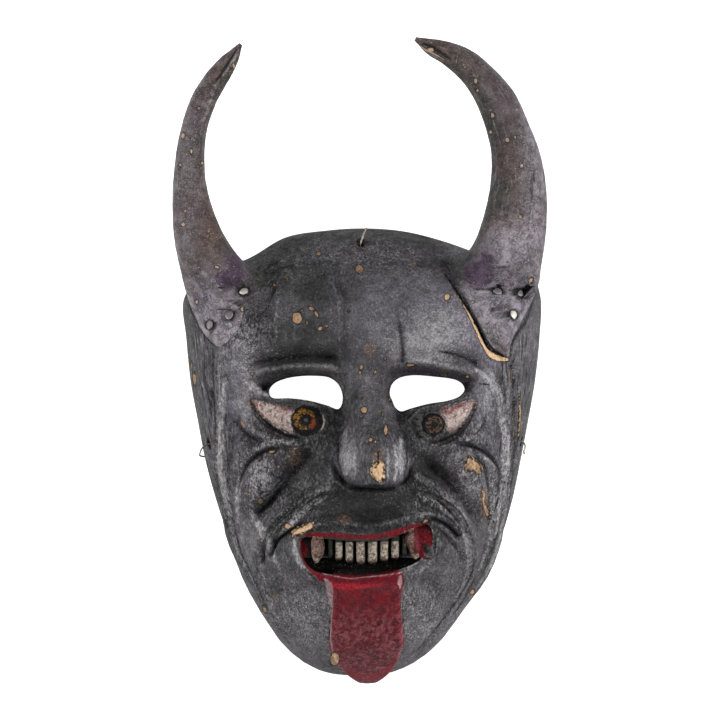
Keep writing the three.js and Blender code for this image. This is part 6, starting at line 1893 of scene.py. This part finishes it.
def wire_piece(name, hole, steps):
    """A bent end of wire beside its hole, with a pinched, uneven thickness."""
    seat, way = on_dome(hole)
    side = Vector((-way.y, way.x, 0)).normalized()
    third = way.cross(side)
    path = curve([tuple(seat + a * side + b * third + out * way) for a, b, out in steps], 80)
    rings = []
    turned = Vector((0.3, 0.5, 0.81))
    for k, at in enumerate(path):
        ahead = Vector(path[min(k + 1, len(path) - 1)] - path[max(k - 1, 0)]).normalized()
        turned = (turned - turned.dot(ahead) * ahead).normalized()
        second = ahead.cross(turned)
        radius = WIRE_RADIUS * (0.93 + 0.05 * math.sin(0.9 * k) * math.sin(0.23 * k + 1))
        radius *= 0.55 if k in (0, len(path) - 1) else 1
        rings.append([Vector(at) + radius * (math.cos(a) * turned + math.sin(a) * second)
                      for a in circle(14)])
    made = solid(name, rings)
    store(made.data, "convex", curvature(made.data, 1))
    return made


# ---------------------------------------------------------------- operators
class MASK_OT_materials(bpy.types.Operator):
    """Mixes the paints, the bare wood and the iron"""

    bl_idname = "mask.materials"
    bl_label = "Mix Paints"

    def execute(self, context):
        colours = context.scene.mask_colours
        build_groups()
        mask_paint(colours)
        horn_paint(colours)
        iron(colours, "Dark Nail Iron", 0.75, 0.9)
        iron(colours, "Bright Nail Iron", 0.0, 0.0, 0.3)
        iron(colours, "Wire Iron", 0.8)
        return {"FINISHED"}


class MASK_OT_carve(bpy.types.Operator):
    """Carves the hollow face with its teeth and tongue, and paints it"""

    bl_idname = "mask.carve"
    bl_label = "Carve Mask"

    def execute(self, context):
        piece = carved_shell()
        cutters = [prism("slot", line, SLOT_FROM, CUTTER_TOP) for line in slot_lines.values()]
        cutters.append(prism("mouth", mouth_line, MOUTH_FLOOR, CUTTER_TOP))
        combine(piece, cutters, "DIFFERENCE")
        g = GUM
        box = [(g["left"], g["bottom"]), (g["right"], g["bottom"]), (g["right"], g["top"]),
               (g["left"], g["top"])]
        added = [prism("gum", box, g["back"], g["front"])]
        added += [rounded_tooth(*row) for row in zip(TEETH_EDGES, TEETH_EDGES[1:], TOOTH_FEET)]
        added += [fang(rows) for rows in FANGS.values()]
        added.append(tongue())
        combine(piece, added, "UNION")
        holes = [wire_hole(at) for at in WIRE_HOLES.values()]
        seat, _ = on_dome(WIRE_HOLES["crown"])
        up = Vector((0, 0, 1))
        holes.append(bar("funnel", seat - CROWN_FUNNEL["deep"] * up,
                         seat + CROWN_FUNNEL["high"] * up, CROWN_FUNNEL["radius"]))
        holes += [nail_hole(at, horn) for side, horn in HORNS.items() for at in NAILS[side]]
        combine(piece, holes, "DIFFERENCE")
        finish_mesh(piece, SHARP["mask"], bpy.data.materials["Mask Paint"])
        paint_zones(piece.data)
        piece.name = "carved_mask"
        ride(piece, "mask")
        return {"FINISHED"}


class MASK_OT_horns(bpy.types.Operator):
    """Carves both horns and fits their feet to the forehead"""

    bl_idname = "mask.horns"
    bl_label = "Carve Horns"

    def execute(self, context):
        for side, horn in HORNS.items():
            piece = solid(f"carved_horn_{side}", horn_rings(horn, side))
            combine(piece, [horn_bed(0.2, 0.3)], "DIFFERENCE")
            cuts = [make(at, horn) for at in NAILS[side] for make in (nail_hole, nail_seat)]
            combine(piece, cuts, "DIFFERENCE")
            finish_mesh(piece, SHARP["horn"], bpy.data.materials["Horn Paint"])
            horn_zones(piece.data, side, horn)
            ride(piece, f"horn_{side}")
        return {"FINISHED"}


class MASK_OT_nails(bpy.types.Operator):
    """Sets the iron nails that hold the horns"""

    bl_idname = "mask.nails"
    bl_label = "Set Nails"

    def execute(self, context):
        for side, horn in HORNS.items():
            for k, at in enumerate(NAILS[side]):
                piece = crumpled_nail(f"iron_nail_{side}_{k + 1}", at, horn, 1.7 * k + len(side))
                tone = "Bright" if (side, k) in BRIGHT_NAILS else "Dark"
                finish_mesh(piece, SHARP["nail"], bpy.data.materials[f"{tone} Nail Iron"])
                ride(piece, f"nail_{side}_{k + 1}")
        return {"FINISHED"}


class MASK_OT_wires(bpy.types.Operator):
    """Bends the ends of wire in the three holes"""

    bl_idname = "mask.wires"
    bl_label = "Bend Wires"

    def execute(self, context):
        for name, steps in WIRES.items():
            piece = wire_piece(f"bent_wire_{name}", WIRE_HOLES[name], steps)
            finish_mesh(piece, SHARP["wire"], bpy.data.materials["Wire Iron"])
            ride(piece, f"wire_{name}")
        return {"FINISHED"}


def area_light(name, stand, target, size, power):
    light = bpy.data.lights.new(name, "AREA")
    light.shape = "RECTANGLE"
    light.size, light.size_y = size
    light.energy = power
    made = bpy.data.objects.new(name, light)
    made.location = stand
    made.rotation_euler = (Vector(target) - Vector(stand)).to_track_quat("-Z", "Y").to_euler()
    bpy.context.collection.objects.link(made)


class MASK_OT_stage(bpy.types.Operator):
    """Lays the floor, hangs the lights and puts the camera straight over the mask"""

    bl_idname = "mask.stage"
    bl_label = "Set Stage"

    def execute(self, context):
        stage, colours = context.scene.mask_stage, context.scene.mask_colours
        corners = [(FLOOR_HALF * a, FLOOR_HALF * b, FLOOR_LEVEL)
                   for a, b in ((-1, -1), (1, -1), (1, 1), (-1, 1))]
        floor = new_object("floor", corners, [(0, 1, 2, 3)])
        coat = Coat("Pale Floor", colours)
        tone = coat.mixed(coat.patches(0.3, 0.7, 30.0, 3, 0.5), "floor",
                          tuple(0.97 * c for c in colours.floor))
        seen = coat.add("ShaderNodeLightPath").outputs["Is Camera Ray"]
        shader = coat.add("ShaderNodeBsdfPrincipled", {
            "Base Color": tone, "Roughness": 0.7, "Emission Color": (1, 1, 1, 1),
            "Emission Strength": coat.times(seen, stage.glow)})
        coat.add("ShaderNodeOutputMaterial", {"Surface": shader.outputs[0]})
        floor.data.materials.append(coat.made)
        for name, stand, size, power in (
                ("left_softbox", (-1.15, -0.02, 0.56), (0.8, 1.5), stage.sides),
                ("right_softbox", (1.15, -0.02, 0.56), (0.8, 1.5), 1.2 * stage.sides),
                ("crown_light", (0.0, 1.0, 0.6), (0.9, 0.5), stage.crown),
                ("overhead_light", (0.0, 0.15, 1.9), (1.2, 1.2), stage.overhead)):
            area_light(name, stand, LIGHTS_AIM, size, power)
        world = bpy.data.worlds.new("room")
        world.use_nodes = True
        sky = world.node_tree.nodes["Background"].inputs
        sky["Color"].default_value, sky["Strength"].default_value = (1, 1, 1, 1), SKY
        context.scene.world = world
        context.scene.view_settings.view_transform = "Standard"
        camera = bpy.data.cameras.new("camera")
        camera.sensor_width = SENSOR
        camera.lens = SENSOR * (stage.distance - FOCUS_HEIGHT) / stage.view
        camera.clip_end = FAR_END
        holder = bpy.data.objects.new("camera", camera)
        holder.location = (*CAMERA_SHIFT, stage.distance)
        context.collection.objects.link(holder)
        context.scene.camera = holder
        return {"FINISHED"}


class MASK_PT_panel(bpy.types.Panel):
    bl_label = "Carved Mask"
    bl_idname = "MASK_PT_panel"
    bl_space_type = "VIEW_3D"
    bl_region_type = "UI"
    bl_category = "Mask"

    def draw(self, context):
        layout = self.layout
        for kind in STEPS:
            layout.operator(kind.bl_idname)
        for group in (context.scene.mask_stage, context.scene.mask_colours):
            box = layout.box()
            for name in group.__annotations__:
                box.prop(group, name)


STEPS = (MASK_OT_materials, MASK_OT_carve, MASK_OT_horns, MASK_OT_nails, MASK_OT_wires,
         MASK_OT_stage)
CLASSES = (MaskColours, MaskStage, *STEPS, MASK_PT_panel)


def register():
    for kind in CLASSES:
        bpy.utils.register_class(kind)
    bpy.types.Scene.mask_colours = PointerProperty(type=MaskColours)
    bpy.types.Scene.mask_stage = PointerProperty(type=MaskStage)


def unregister():
    del bpy.types.Scene.mask_stage
    del bpy.types.Scene.mask_colours
    for kind in reversed(CLASSES):
        bpy.utils.unregister_class(kind)


def main():
    register()
    bpy.ops.mask.materials()
    bpy.ops.mask.carve()
    bpy.ops.mask.horns()
    bpy.ops.mask.nails()
    bpy.ops.mask.wires()
    bpy.ops.mask.stage()


if __name__ == "__main__":
    main()
